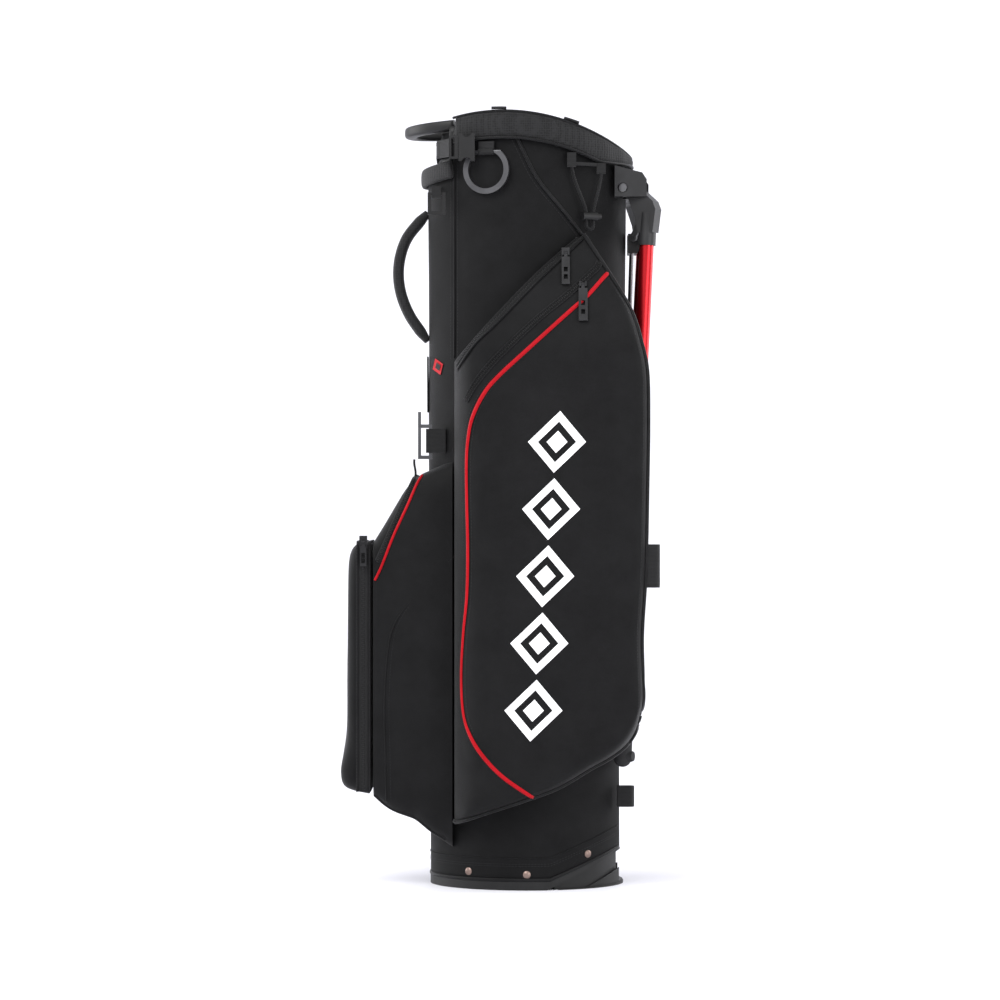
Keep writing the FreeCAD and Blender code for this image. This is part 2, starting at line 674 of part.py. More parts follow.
def link():
    """Flat link from the crosshead to the knuckle; the upper eye is loose on its stud."""
    (u0, z0), (u1, z1) = LINK_LOW, LINK_TOP
    length = math.hypot(u1 - u0, z1 - z0)
    su, sz = (z1 - z0) / length * 3.5, -(u1 - u0) / length * 3.5
    bar = leg_plate([(u0 + su, z0 + sz), (u1 + su, z1 + sz), (u1 - su, z1 - sz), (u0 - su, z0 - sz)],
                    LINK_NEAR_FACE, LINK_FAR_FACE)
    ends = [leg_bar(u0, z0, LINK_NEAR_FACE, LINK_FAR_FACE, 4.6), leg_bar(u1, z1, LINK_NEAR_FACE, LINK_FAR_FACE, 6.8)]
    solid = joined([bar] + ends)
    solid = solid.cut(leg_bar(u0, z0, 8, 18, 2.0 + RUN))
    return solid.cut(leg_bar(u1, z1, 8, 18, 4.1))


def actuator_wire():
    """Spring-steel wire bent to a U: the foot lifts its crossbar, its two ends lift the crosshead."""
    (xl, zl), (xt, zt) = WIRE_LOW, WIRE_TOP
    points = [(xt, -WIRE_Y, zt), (xl, -WIRE_Y, zl), (CROSSBAR_X, -WIRE_Y, zl), (CROSSBAR_X, WIRE_Y, zl),
              (xl, WIRE_Y, zl), (xt, WIRE_Y, zt)]
    return bent_wire(points, WIRE_R, 6.0)


def crosshead():
    """Moulded crosshead clamped on the wire's ends, with a stud for each link."""
    block = prism_xz([(114.6, 715), (125, 715), (127, 720), (127, 737), (114.6, 737)], -22, 22)
    studs = []
    for side in (1, -1):
        stud = leg_bar(LINK_LOW[0], LINK_LOW[1], LINK_NEAR_FACE - 0.8, 20, 2.0)
        studs.append(stud if side > 0 else mirrored(stud))
    block = joined([block] + studs)
    (xl, zl), (xt, zt) = WIRE_LOW, WIRE_TOP
    for side in (-1, 1):
        block = block.cut(rod((xl, side * WIRE_Y, zl), (xt, side * WIRE_Y, zt), WIRE_R))
    return block


def wire_guides():
    """Two moulded combs on the flat that keep the wires in line."""
    guides = []
    slope = (CHANNEL_TOP[0] - CHANNEL_LOW[0]) / (CHANNEL_TOP[1] - CHANNEL_LOW[1])
    for z in (150.0, 420.0):
        x = CHANNEL_LOW[0] + slope * (z - CHANNEL_LOW[1])
        guide = box(x + 0.9, x + 12.0, -24, 24, z, z + 8)
        wire_x = WIRE_LOW[0] + (WIRE_TOP[0] - WIRE_LOW[0]) * (z - WIRE_LOW[1]) / (WIRE_TOP[1] - WIRE_LOW[1])
        for side in (-1, 1):
            guide = guide.cut(rod((wire_x - 0.7, side * WIRE_Y, z - 10), (wire_x + 0.9, side * WIRE_Y, z + 20), 2.7))
        guides.append(guide)
    return group(guides)


# ---------------------------------------------------------------- trim
def on_body(shape, x, z, offset):
    """A shape built facing -Y about the origin, set tangent to the near side of the body."""
    a, b = body_axes(z)
    y = surface_y(x, z, offset)
    angle = math.degrees(math.atan2(x / (a + offset) ** 2, -y / (b + offset) ** 2))
    placed = shape.copy()
    placed.rotate(V(0, 0, 0), V(0, 0, 1), angle)
    placed.translate(V(x, y, z))
    return placed


RING_PLACE = (-46.0, 803.0, 5.0)       # x, z and distance off the body


def towel_ring():
    """Metal ring with a flat bar across its top."""
    disc = rod((0, -2, 0), (0, 2, 0), 27.0).cut(rod((0, -3, 0), (0, 3, 0), 21.0))
    disc = disc.cut(box(-30, 30, -4, 4, 20, 40)).cut(rod((-9.6, 0, 20), (9.6, 0, 20), 4.0))
    bar = rod((-17.5, 0, 20), (17.5, 0, 20), 2.0)
    return on_body(joined([disc, bar]), *RING_PLACE)


def ring_tab():
    """Webbing folded round the towel ring's bar."""
    loop = rod((-9, 0, 20), (9, 0, 20), 3.4)
    strap = box(-9, 9, -1.2, 1.2, 20, 31.5)
    tab = joined([loop, strap]).cut(rod((-10, 0, 20), (10, 0, 20), 2.1))
    return on_body(tab, *RING_PLACE)


def strap_ring():
    """Square moulded ring for the shoulder strap."""
    outer = box(-112, -92, -66, -62, 755, 780)
    return outer.cut(box(-108, -96, -67, -61, 759, 776.4))


def strap_ring_tab():
    """Webbing that holds the square ring under the rear pad."""
    tab = box(-107, -97, -68.4, -59.6, 773.5, 783).cut(box(-108, -96, -67.2, -60.8, 774.5, 781.7))
    riser = box(-107, -97, -68.4, -67.0, 782, 786.4)
    strap = box(-107, -97, -68.4, -25, 784, 786.4).cut(body_column(0.0))
    return joined([tab, riser, strap])


def hip_clip_tab():
    """Webbing loop and its sewn patch on the spine for the lower strap clip."""
    outer = box(-114, -92, -58.6, -50.6, 488, 515)
    return outer.cut(box(-112.6, -97, -57.4, -51.8, 487, 516)).cut(body_column(0.4))


def hip_clip():
    """Metal spring clip hanging in the webbing loop."""
    frame = box(-123, -107, -56, -53.2, 481, 520).cut(box(-119.5, -110.8, -57, -52, 485, 516))
    lip = box(-123, -119.5, -57.6, -53.2, 518, 534)
    return joined([frame, lip])


def carry_handle():
    """Padded carry handle on the spine."""
    outer = [(-113.6, 768), (-138, 744), (-153, 697), (-142, 646), (-113.6, 606)]
    inner = [(-113.6, 634), (-130, 662), (-140, 697), (-130, 729), (-113.6, 744)]
    runs = [outer, [outer[-1], inner[0]], inner, [inner[-1], outer[0]]]
    return spline_prism_xz(runs, -14, 14)


def spine_webbing():
    """Flat webbing sewn down the spine under the handle and the clip."""
    strip = box(-115, -108, -14, 14, 535, 600).cut(body_column(0.2))
    return strip.common(body_column(2.2))


def red_tab():
    """Small slanted fabric tab."""
    outer = prism_xz([(-107, 583), (-98, 576), (-95, 588), (-104, 595)], -70, -38)
    return outer.common(body_column(2.4)).cut(body_column(0.4))


BUCKLE_Y = (-99.0, -92.0)
BUCKLE_Z = 827.5


def buckle_female():
    """Socket half of the side-release buckle."""
    y0, y1 = BUCKLE_Y
    z = BUCKLE_Z
    shell = box(-77, -59, y0, y1, z - 15.5, z + 15.5)
    shell = shell.cut(box(-78, -63.5, y0 + 1.6, y1 - 1.6, z - 12.5, z + 12.5))
    for side in (-1, 1):
        shell = shell.cut(rod((-68, y0 - 1, z + side * 17.5), (-68, y1 + 1, z + side * 17.5), 6.0))
    return shell


def buckle_male():
    """Plug half: strap bar and two sprung arms."""
    y0, y1 = BUCKLE_Y
    z = BUCKLE_Z
    head = box(-87, -77.6, y0 + 0.3, y1 - 0.3, z - 13, z + 13)
    head = head.cut(box(-85, -81.5, y0 - 1, y1 + 1, z - 10.5, z + 10.5))
    arms = [box(-78, -65.5, y0 + 2.1, y1 - 2.1, z + s * 8.5 - 2.5, z + s * 8.5 + 2.5) for s in (-1, 1)]
    tongue = box(-78, -66, y0 + 2.1, y1 - 2.1, z - 1.5, z + 1.5)
    return joined([head, tongue] + arms)


def buckle_web():
    """Webbing through the plug's bar, running back round the bag."""
    y1 = BUCKLE_Y[1]
    plan = [(-83.0, y1 + 0.6), (-83.0, y1 + 2.2), (-86.5, y1 + 2.2), (-97.0, -71.0), (-98.6, -72.0),
            (-87.6, y1 + 0.6)]
    return prism_xy(plan, BUCKLE_Z - 10, BUCKLE_Z + 10)


def rear_strap():
    """Webbing pulled straight across the back of the top, ending at the far end of the collar."""
    outer = [(-99.0, -70.6), (-102.6, -62), (-102.6, 62), (-99.0, 70.6), (-82.3, 75.0)]
    inner = [(-82.3, 73.4), (-97.6, 69.6), (-101.0, 61.4), (-101.0, -61.4), (-97.5, -70.2)]
    return prism_xy(outer + inner, BUCKLE_Z - 10, BUCKLE_Z + 10)


def buckle_anchor():
    """Webbing that ties the socket half to the collar."""
    y1 = BUCKLE_Y[1]
    return box(-74, -64, y1 + 0.3, y1 + 3.0, BUCKLE_Z - 2, BUCKLE_Z + 7)


# ---------------------------------------------------------------- umbrella cord
CORD_R = 1.8
CORD_BEND_SHARE = 0.45
CORD_ROUTE = [(49.0, -93.0, 806.0), (51.0, -92.6, 795.0), (55.5, -91.4, 783.0), (61.0, -89.5, 770.0),
              (65.6, -87.6, 757.0), (65.6, -87.0, 746.0), (65.4, -87.0, 737.5), (73.4, -83.6, 737.5),
              (73.2, -83.4, 746.0), (73.2, -83.0, 757.0), (76.2, -81.2, 770.0), (79.4, -79.2, 782.0),
              (81.6, -77.6, 792.0), (82.4, -77.0, 800.0)]


def cord_path():
    """Straight runs joined by tangent arcs, each as large as its runs allow."""
    p = [V(*q) for q in CORD_ROUTE]
    edges = []
    radii = []
    start = p[0]
    for i in range(1, len(p) - 1):
        before = p[i - 1] - p[i]
        after = p[i + 1] - p[i]
        run = min(before.Length, after.Length)
        before = before.normalize()
        after = after.normalize()
        half = before.getAngle(after) / 2.0
        reach = CORD_BEND_SHARE * run
        radius = reach * math.tan(half)
        radii.append(round(radius, 1))
        a = p[i] + before * reach
        b = p[i] + after * reach
        middle = p[i] + (before + after).normalize() * (radius / math.sin(half) - radius)
        edges.append(Part.LineSegment(start, a).toShape())
        edges.append(Part.Arc(a, middle, b).toShape())
        start = b
    edges.append(Part.LineSegment(start, p[-1]).toShape())
    print("cord bend radii", radii)
    return Part.Wire(edges)


def umbrella_cord():
    """Thin cord loop for an umbrella."""
    path = cord_path()
    tube = swept(path, CORD_R)
    print("cord length", round(path.Length, 1))
    print("cord volume over section times length", round(tube.Volume / (math.pi * CORD_R ** 2 * path.Length), 4))
    return tube


LOCK_CENTRE = (69.4, -85.2, 751.5)
LOCK_TURN = 24.0


def at_lock(shape):
    """A shape built about the origin, set at the cord lock."""
    placed = shape.copy()
    placed.rotate(V(0, 0, 0), V(0, 0, 1), LOCK_TURN)
    placed.translate(V(*LOCK_CENTRE))
    return placed


def cord_lock():
    """Barrel with two eyes for the cord and a bore for its button."""
    barrel = rod((-9, 0, 0), (9, 0, 0), 4.6)
    barrel = barrel.cut(rod((6.2, 0, 0), (10, 0, 0), 3.3))
    for x in (-4.15, 4.15):
        barrel = barrel.cut(rod((x, 0, -8), (x, 0, 8), CORD_R + 0.7))
    return at_lock(barrel)


def cord_lock_button():
    """Button in the end of the cord lock."""
    return at_lock(joined([rod((9.4, 0, 0), (13.5, 0, 0), 3.2)]))


def umbrella_tab():
    """Webbing tab under the collar that the cord's two ends are sewn into."""
    pieces = []
    for x, z0, z1 in ((49.0, 806.0, 822.0), (82.4, 800.0, 811.5)):
        y = -93.0 if x < 60 else -77.0
        pieces.append(box(x - 5, x + 5, y - 2.2, y + 2.2, z0, z1))
    middle = prism_xy([(54.0, -93.4), (77.4, -80.2), (77.4, -77.6), (54.0, -90.8)], 808, 811.6)
    return joined(pieces + [middle])


def side_loops():
    """Webbing loops on the leg side of the pocket and of the base."""
    upper = box(129, 146, -122, -112, 337, 387).cut(box(127, 143.6, -119.8, -114.2, 330, 390))
    upper = upper.cut(near_pocket(False))
    lower = box(100, 121, -52, -44, 89, 114).cut(box(98, 118.6, -50, -46, 80, 120)).cut(body_column(0.3))
    return group(upper.Solids + lower.Solids)


# ---------------------------------------------------------------- write every sub-part
def far_and_near(name, builder):
    """The same piece on the near and the far side."""
    near = builder()
    return {name + "_near": near, name + "_far": mirrored(near)}


def base_parts():
    """The base, the body and the top."""
    return {
        "base_cup": base_cup(),
        "base_foot": base_foot(),
        "foot_hinge_pin": foot_hinge_pin(),
        "base_rivets": base_rivets(),
        "body_shell": body_shell().cut(box(84, 200, -CHANNEL_HALF - 2, CHANNEL_HALF + 2, -10, 70)),
        "frame_stays": frame_stays(),
        "cuff_frame": cuff_frame(),
        "cuff_pad": cuff_pad().cut(box(79, 140, -120, 120, 700, 812)),
        "rear_pad": rear_pad(),
        "divider_bars": group(divider_bars().Solids + divider_knobs().Solids),
        "divider_panels": divider_panels(),
    }


def pocket_parts():
    """Pockets, zips and piping."""
    zip_z0, zip_z1 = BALL_ZIP_Z
    ball_zip = box(BALL_ZIP_X - 3.5, BALL_ZIP_X + 3.5, BALL_SIDE_Y - 1.5, BALL_SIDE_Y - 0.1, zip_z0, zip_z1)
    return {
        "garment_pocket": garment_pocket(),
        "upper_pocket": upper_pocket(),
        "garment_pocket_far": garment_pocket_far(),
        "side_pocket": side_pocket(),
        "ball_pocket": ball_pocket(),
        "zip_chain_upper": on_slope(zip_chain(ZIP_A, POCKET_Y)),
        "zip_chain_garment": on_slope(zip_chain(ZIP_B, POCKET_Y)),
        "zip_chain_far": mirrored(on_slope(zip_chain(ZIP_B, POCKET_Y))),
        "zip_chain_ball": ball_zip,
        "zip_slider_upper": on_slope(zip_slider(SLIDER_A, POCKET_Y)),
        "zip_slider_garment": on_slope(zip_slider(SLIDER_B, POCKET_Y)),
        "zip_slider_far": mirrored(on_slope(zip_slider(SLIDER_B, POCKET_Y))),
        "zip_slider_ball": zip_slider(SLIDER_D, BALL_SIDE_Y),
        "zip_pull_upper": on_slope(zip_pull(SLIDER_A, POCKET_Y, 9.0, 32.0)),
        "zip_pull_garment": on_slope(zip_pull(SLIDER_B, POCKET_Y, 10.0, 38.0)),
        "zip_pull_far": mirrored(on_slope(zip_pull(SLIDER_B, POCKET_Y, 10.0, 38.0))),
        "zip_pull_ball": zip_pull(SLIDER_D, BALL_SIDE_Y, 7.0, 22.0),
        "red_piping": on_slope(piping([RED_LINE], POCKET_Y, 3.2)),
        "border_piping": piping([SIDE_BORDER], POCKET_Y, 3.4),
    }


def stand_parts():
    """The legs and what drives them."""
    parts = {
        "leg_bracket": leg_bracket(),
        "leg_pins": leg_pins(),
        "actuator_wire": actuator_wire(),
        "crosshead": crosshead(),
        "wire_guides": wire_guides(),
    }
    parts.update(far_and_near("leg_knuckle", leg_knuckle))
    parts.update(far_and_near("leg_tube", leg_tube))
    parts.update(far_and_near("leg_foot", leg_foot))
    parts.update(far_and_near("link", link))
    return parts


def trim_parts():
    """Rings, buckle, straps, clip and the umbrella cord."""
    return {
        "towel_ring": towel_ring(),
        "strap_ring": strap_ring(),
        "hip_clip": hip_clip(),
        "webbing_tabs": group([ring_tab(), strap_ring_tab(), hip_clip_tab(), buckle_anchor()]),
        "carry_handle": carry_handle(),
        "spine_webbing": spine_webbing(),
        "red_tab": red_tab(),
        "buckle_female": buckle_female(),
        "buckle_male": buckle_male(),
        "buckle_web": buckle_web(),
        "rear_strap": rear_strap(),
        "umbrella_cord": umbrella_cord(),
        "cord_lock": cord_lock(),
        "cord_lock_button": cord_lock_button(),
        "umbrella_tab": umbrella_tab(),
        "side_loops": side_loops(),
    }


os.makedirs("parts", exist_ok=True)
for builder in (base_parts, pocket_parts, stand_parts, trim_parts):
    for name, shape in builder().items():
        shape.exportStep(os.path.join("parts", name + ".step"))
        print(name, "solids", len(shape.Solids), "volume", round(shape.Volume), "valid", shape.isValid())
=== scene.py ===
"""Golf stand bag: fabric, mesh, webbing, zips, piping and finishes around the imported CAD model. Metres."""
import math

import bmesh
import bpy
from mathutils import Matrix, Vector, noise


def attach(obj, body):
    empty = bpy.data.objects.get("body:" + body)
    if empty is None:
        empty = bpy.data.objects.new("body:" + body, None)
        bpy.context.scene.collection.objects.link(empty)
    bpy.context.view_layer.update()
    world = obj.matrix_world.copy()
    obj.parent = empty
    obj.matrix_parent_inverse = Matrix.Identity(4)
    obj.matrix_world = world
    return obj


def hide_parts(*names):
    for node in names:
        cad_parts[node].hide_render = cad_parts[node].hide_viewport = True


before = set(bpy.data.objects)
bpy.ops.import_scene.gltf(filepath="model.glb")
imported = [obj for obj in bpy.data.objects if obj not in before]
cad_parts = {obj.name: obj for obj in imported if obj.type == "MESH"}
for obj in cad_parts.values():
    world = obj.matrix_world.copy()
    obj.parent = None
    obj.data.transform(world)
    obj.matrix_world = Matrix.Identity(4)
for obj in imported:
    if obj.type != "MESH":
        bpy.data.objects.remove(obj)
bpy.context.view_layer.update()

MM = 0.001
NEAR = -1
FAR = 1
UP = Vector((0, 0, 1))

# ---------------------------------------------------------------- driving dimensions, the same as the CAD's
BODY_TOP_Z = 846 * MM
BODY_TOP_A = 112.8 * MM
BODY_TOP_B = 95.0 * MM
BODY_LOW_A = 109.5 * MM
BODY_LOW_B = 93.0 * MM
CROWN_X = -31 * MM
CROWN_Z = 870.5 * MM
CROWN_DROP = 2.07              # per metre: how fast the collar's top edge falls away from its crown
COLLAR_HEIGHT = 33 * MM
CHANNEL_HALF = 26 * MM
POCKET_Y = -134 * MM
SLOPE_Z = 600 * MM
SLOPE = math.tan(math.radians(15.7))
STITCH = 3.6 * MM
CLOTH = 1.4 * MM               # thickness of the body's cloth
POCKET_LEFT = -82 * MM         # rear edge of the near and far pockets
POCKET_TURN_Z = 590 * MM       # where the pocket's upper edge starts to slant
POCKET_CORNER_Z = 206 * MM     # where its lower edge meets its leg-side edge
POCKET_PEAK_X = 62 * MM        # where its upper edge meets its leg-side edge
BAR_XS = (-32.0, 49.0)         # millimetres: the two bars of the four-way top


# ---------------------------------------------------------------- camera
SENSOR_WIDTH = 36.0            # millimetres, as is the lens
LENS = 126.3
CAMERA_PLACE = (-0.0308, -4.0, 0.435)


def make_camera():
    """A long lens at half the bag's height, level, as far away as the view needs."""
    data = bpy.data.cameras.new("camera")
    data.sensor_width = SENSOR_WIDTH
    data.lens = LENS
    camera = bpy.data.objects.new("camera", data)
    camera.location = CAMERA_PLACE
    camera.rotation_euler = (math.radians(90), 0, 0)
    bpy.context.scene.collection.objects.link(camera)
    bpy.context.scene.camera = camera


make_camera()


# ---------------------------------------------------------------- materials
def node_material(name):
    """An empty material with its shader, and a short way to add nodes and links."""
    material = bpy.data.materials.new(name)
    material.use_nodes = True
    tree = material.node_tree
    shader = tree.nodes["Principled BSDF"]
    return material, tree, shader


def set_inputs(node, **values):
    """Set a node's inputs by name, with underscores for spaces."""
    for key, value in values.items():
        node.inputs[key.replace("_", " ")].default_value = value


def add(tree, kind, **values):
    """A node with its named inputs set."""
    node = tree.nodes.new(kind)
    set_inputs(node, **values)
    return node


def mapping(tree, scale, rotation):
    """Object coordinates, scaled and turned."""
    coords = tree.nodes.new("ShaderNodeTexCoord")
    node = add(tree, "ShaderNodeMapping", Scale=scale, Rotation=rotation)
    tree.links.new(coords.outputs["Object"], node.inputs["Vector"])
    return node.outputs["Vector"]


def texture(tree, kind, stretch=(1, 1, 1), rotation=(0, 0, 0), **values):
    """A texture node with its inputs set, in object coordinates."""
    node = add(tree, kind, **values)
    tree.links.new(mapping(tree, stretch, rotation), node.inputs["Vector"])
    return node


def ramp(tree, factor, low, high, start=0.3, end=0.7):
    """A two-colour ramp on a factor."""
    node = tree.nodes.new("ShaderNodeValToRGB")
    node.color_ramp.elements[0].position = start
    node.color_ramp.elements[1].position = end
    node.color_ramp.elements[0].color = (*low, 1)
    node.color_ramp.elements[1].color = (*high, 1)
    tree.links.new(factor, node.inputs["Fac"])
    return node.outputs["Color"]


def bump(tree, shader, height, strength, distance):
    """Bump from a height."""
    node = add(tree, "ShaderNodeBump", Strength=strength, Distance=distance)
    tree.links.new(height, node.inputs["Height"])
    tree.links.new(node.outputs["Normal"], shader.inputs["Normal"])


THREAD_TURN = 0.78             # radians between the threads and the axes


def weave_material(name, dark, light, roughness, thread=1.1 * MM, sheen=0.05, depth=0.12 * MM):
    """Fine woven cloth: two crossing sets of threads, mottled colour and a soft sheen."""
    material, tree, shader = node_material(name)
    set_inputs(shader, Roughness=roughness, Sheen_Weight=sheen, Sheen_Roughness=0.45, Specular_IOR_Level=0.09)
    mottling = texture(tree, "ShaderNodeTexNoise", Scale=26.0, Detail=6.0, Roughness=0.65)
    fine = texture(tree, "ShaderNodeTexNoise", Scale=900.0, Detail=3.0, Roughness=0.7)
    mix = tree.nodes.new("ShaderNodeMath")
    mix.operation = "MULTIPLY_ADD"
    mix.inputs[1].default_value = 0.45
    tree.links.new(fine.outputs["Fac"], mix.inputs[0])
    tree.links.new(mottling.outputs["Fac"], mix.inputs[2])
    colour = ramp(tree, mix.outputs[0], dark, light, 0.45, 1.0)
    tree.links.new(colour, shader.inputs["Base Color"])
    threads = []
    for angle in (THREAD_TURN, -THREAD_TURN):
        wave = texture(tree, "ShaderNodeTexWave", rotation=(angle, angle, 0),
                       Scale=0.32 / thread, Distortion=0.4, Detail=1.0)
        wave.bands_direction = "Z"
        threads.append(wave.outputs["Fac"])
    top = tree.nodes.new("ShaderNodeMath")
    top.operation = "MAXIMUM"
    tree.links.new(threads[0], top.inputs[0])
    tree.links.new(threads[1], top.inputs[1])
    bump(tree, shader, top.outputs[0], 0.55, depth)
    return material


def mesh_material(name, dark, light, cell=2.6 * MM):
    """Padded air mesh: small open cells over a dark ground."""
    material, tree, shader = node_material(name)
    set_inputs(shader, Roughness=0.75, Specular_IOR_Level=0.2, Sheen_Weight=0.08)
    cells = texture(tree, "ShaderNodeTexVoronoi", Scale=1.0 / cell, Randomness=0.25)
    colour = ramp(tree, cells.outputs["Distance"], dark, light, 0.15, 0.55)
    tree.links.new(colour, shader.inputs["Base Color"])
    bump(tree, shader, cells.outputs["Distance"], 0.8, 0.5 * MM)
    return material


def ribbed_material(name, dark, light, rib=1.5 * MM, axis="Z"):
    """Webbing or tape: close ribs across its length."""
    material, tree, shader = node_material(name)
    set_inputs(shader, Roughness=0.62, Specular_IOR_Level=0.2, Sheen_Weight=0.06)
    wave = texture(tree, "ShaderNodeTexWave", Scale=0.32 / rib, Distortion=0.3)
    wave.bands_direction = axis
    tree.links.new(ramp(tree, wave.outputs["Fac"], dark, light, 0.2, 0.9), shader.inputs["Base Color"])
    bump(tree, shader, wave.outputs["Fac"], 0.7, 0.25 * MM)
    return material


def grained_material(name, dark, light, roughness, metallic=0.0, grain=1400.0, depth=0.06 * MM, coat=0.0,
                     stretch=(1, 1, 1)):
    """Moulded plastic, rubber or metal: slight colour drift, fine grain and an uneven gloss."""
    material, tree, shader = node_material(name)
    set_inputs(shader, Metallic=metallic, Coat_Weight=coat, Specular_IOR_Level=0.3, Coat_Roughness=0.25)
    broad = texture(tree, "ShaderNodeTexNoise", stretch, Scale=38.0, Detail=5.0)
    tree.links.new(ramp(tree, broad.outputs["Fac"], dark, light), shader.inputs["Base Color"])
    gloss = add(tree, "ShaderNodeMapRange", To_Min=roughness - 0.07, To_Max=roughness + 0.09)
    tree.links.new(broad.outputs["Fac"], gloss.inputs["Value"])
    tree.links.new(gloss.outputs["Result"], shader.inputs["Roughness"])
    fine = texture(tree, "ShaderNodeTexNoise", stretch, Scale=grain, Detail=2.0)
    bump(tree, shader, fine.outputs["Fac"], 0.5, depth)
    return material


def grey(value):
    """A neutral grey with a slightly cool cast."""
    return (value, value, value * 1.06)


BODY_CLOTH = weave_material("body_cloth", grey(0.0035), grey(0.0075), 0.66)
POCKET_CLOTH = weave_material("pocket_cloth", grey(0.0042), grey(0.0085), 0.62, sheen=0.06)
LINING = weave_material("divider_lining", grey(0.008), grey(0.016), 0.7, thread=1.6 * MM)
MESH_CLOTH = mesh_material("mesh_cloth", grey(0.0025), grey(0.014))
WEBBING = ribbed_material("webbing", grey(0.004), grey(0.012))
TAPE = ribbed_material("zip_tape", grey(0.003), grey(0.009), rib=0.9 * MM, axis="DIAGONAL")
RED_CLOTH = weave_material("red_cord_cloth", (0.30, 0.002, 0.006), (0.44, 0.005, 0.012), 0.42,
                           thread=0.7 * MM)
BLACK_CORD = weave_material("black_cord_cloth", grey(0.005), grey(0.013), 0.38, thread=0.7 * MM, sheen=0.06)
THREAD = weave_material("thread", grey(0.010), grey(0.024), 0.5, thread=0.3 * MM)
PRINT = weave_material("white_print", (0.86, 0.86, 0.87), (0.95, 0.95, 0.95), 0.5, thread=1.1 * MM, sheen=0.0,
                       depth=0.05 * MM)
PLASTIC = grained_material("moulded_plastic", grey(0.006), grey(0.011), 0.45)
BASE_PLASTIC = grained_material("base_plastic", grey(0.004), grey(0.009), 0.52, grain=700.0, depth=0.15 * MM)
GREY_PLASTIC = grained_material("grey_plastic", grey(0.012), grey(0.021), 0.4)
RUBBER = grained_material("rubber", grey(0.010), grey(0.018), 0.75, grain=900.0)
GUNMETAL = grained_material("gunmetal", grey(0.075), grey(0.115), 0.34, metallic=0.85, depth=0.02 * MM)
PULL_METAL = grained_material("pull_metal", grey(0.016), grey(0.030), 0.36, metallic=0.6, depth=0.02 * MM)
BRONZE = grained_material("rivet_bronze", (0.16, 0.115, 0.10), (0.26, 0.19, 0.165), 0.38, metallic=0.9)
STEEL = grained_material("spring_steel", grey(0.16), grey(0.24), 0.3, metallic=1.0, stretch=(1, 1, 0.05))
RED_METAL = grained_material("red_aluminium", (0.38, 0.002, 0.006), (0.52, 0.005, 0.012), 0.3, metallic=0.9,
                             coat=0.4, stretch=(1, 1, 0.03), depth=0.015 * MM)


# ---------------------------------------------------------------- mesh helpers
def make_mesh(name, points, faces, material, smooth=True):
    """A mesh object from points and faces, with its normals outward."""
    mesh = bpy.data.meshes.new(name)
    mesh.from_pydata([tuple(p) for p in points], [], faces)
    work = bmesh.new()
    work.from_mesh(mesh)
    bmesh.ops.remove_doubles(work, verts=work.verts, dist=1e-6)
    bmesh.ops.recalc_face_normals(work, faces=work.faces)
    work.to_mesh(mesh)
    work.free()
    mesh.materials.append(material)
    for face in mesh.polygons:
        face.use_smooth = smooth
    obj = bpy.data.objects.new(name, mesh)
    bpy.context.scene.collection.objects.link(obj)
    return obj


def grid_faces(rows, columns, wrap_rows=False, wrap_columns=False, start=0):
    """Faces of a grid of points stored row by row."""
    faces = []
    for i in range(rows if wrap_rows else rows - 1):
        for j in range(columns if wrap_columns else columns - 1):
            a = start + i * columns + j
            b = start + i * columns + (j + 1) % columns
            c = start + ((i + 1) % rows) * columns + (j + 1) % columns
            d = start + ((i + 1) % rows) * columns + j
            faces.append((a, b, c, d))
    return faces


def finish_piece(obj, replaced=(), levels=0):
    """Bake modifiers in; the piece rides on the bag itself. Hide the CAD nodes it stands for."""
    if levels:
        modifier = obj.modifiers.new("smooth", "SUBSURF")
        modifier.levels = levels
        modifier.render_levels = levels
    apply_modifiers(obj)
    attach(obj, "root")
    if replaced:
        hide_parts(*replaced)
    return obj


def apply_modifiers(obj):
    """Turn the evaluated mesh into the object's own mesh."""
    if not obj.modifiers:
        return
    graph = bpy.context.evaluated_depsgraph_get()
    mesh = bpy.data.meshes.new_from_object(obj.evaluated_get(graph))
    obj.modifiers.clear()
    obj.data = mesh


def smooth_path(points, step):
    """A Catmull-Rom line through points, sampled at an even step."""
    p = [Vector(q) for q in points]
    p = [p[0] * 2 - p[1]] + p + [p[-1] * 2 - p[-2]]
    dense = []
    for a, b, c, d in zip(p, p[1:], p[2:], p[3:]):
        for k in range(24):
            t = k / 24
            dense.append(0.5 * (2 * b + (c - a) * t + (2 * a - 5 * b + 4 * c - d) * t * t
                                + (3 * b - a - 3 * c + d) * t ** 3))
    dense.append(p[-2])
    return resample(dense, step)


def resample(points, step):
    """Points an even distance apart along a line of points."""
    lengths = [0.0]
    for a, b in zip(points, points[1:]):
        lengths.append(lengths[-1] + (b - a).length)
    count = max(2, round(lengths[-1] / step) + 1)
    result = []
    k = 0
    for i in range(count):
        target = lengths[-1] * i / (count - 1)
        while k < len(points) - 2 and lengths[k + 1] < target:
            k += 1
        span = max(lengths[k + 1] - lengths[k], 1e-9)
        result.append(points[k].lerp(points[k + 1], (target - lengths[k]) / span))
    return result


def frames(path, up):
    """Tangent, side and up vectors along a path; up may be one vector or one for each point."""
    result = []
    for i, point in enumerate(path):
        tangent = (path[min(i + 1, len(path) - 1)] - path[max(i - 1, 0)]).normalized()
        lift = up[i] if isinstance(up, list) else up
        side = tangent.cross(lift).normalized()
        result.append((point, side, side.cross(tangent).normalized()))
    return result


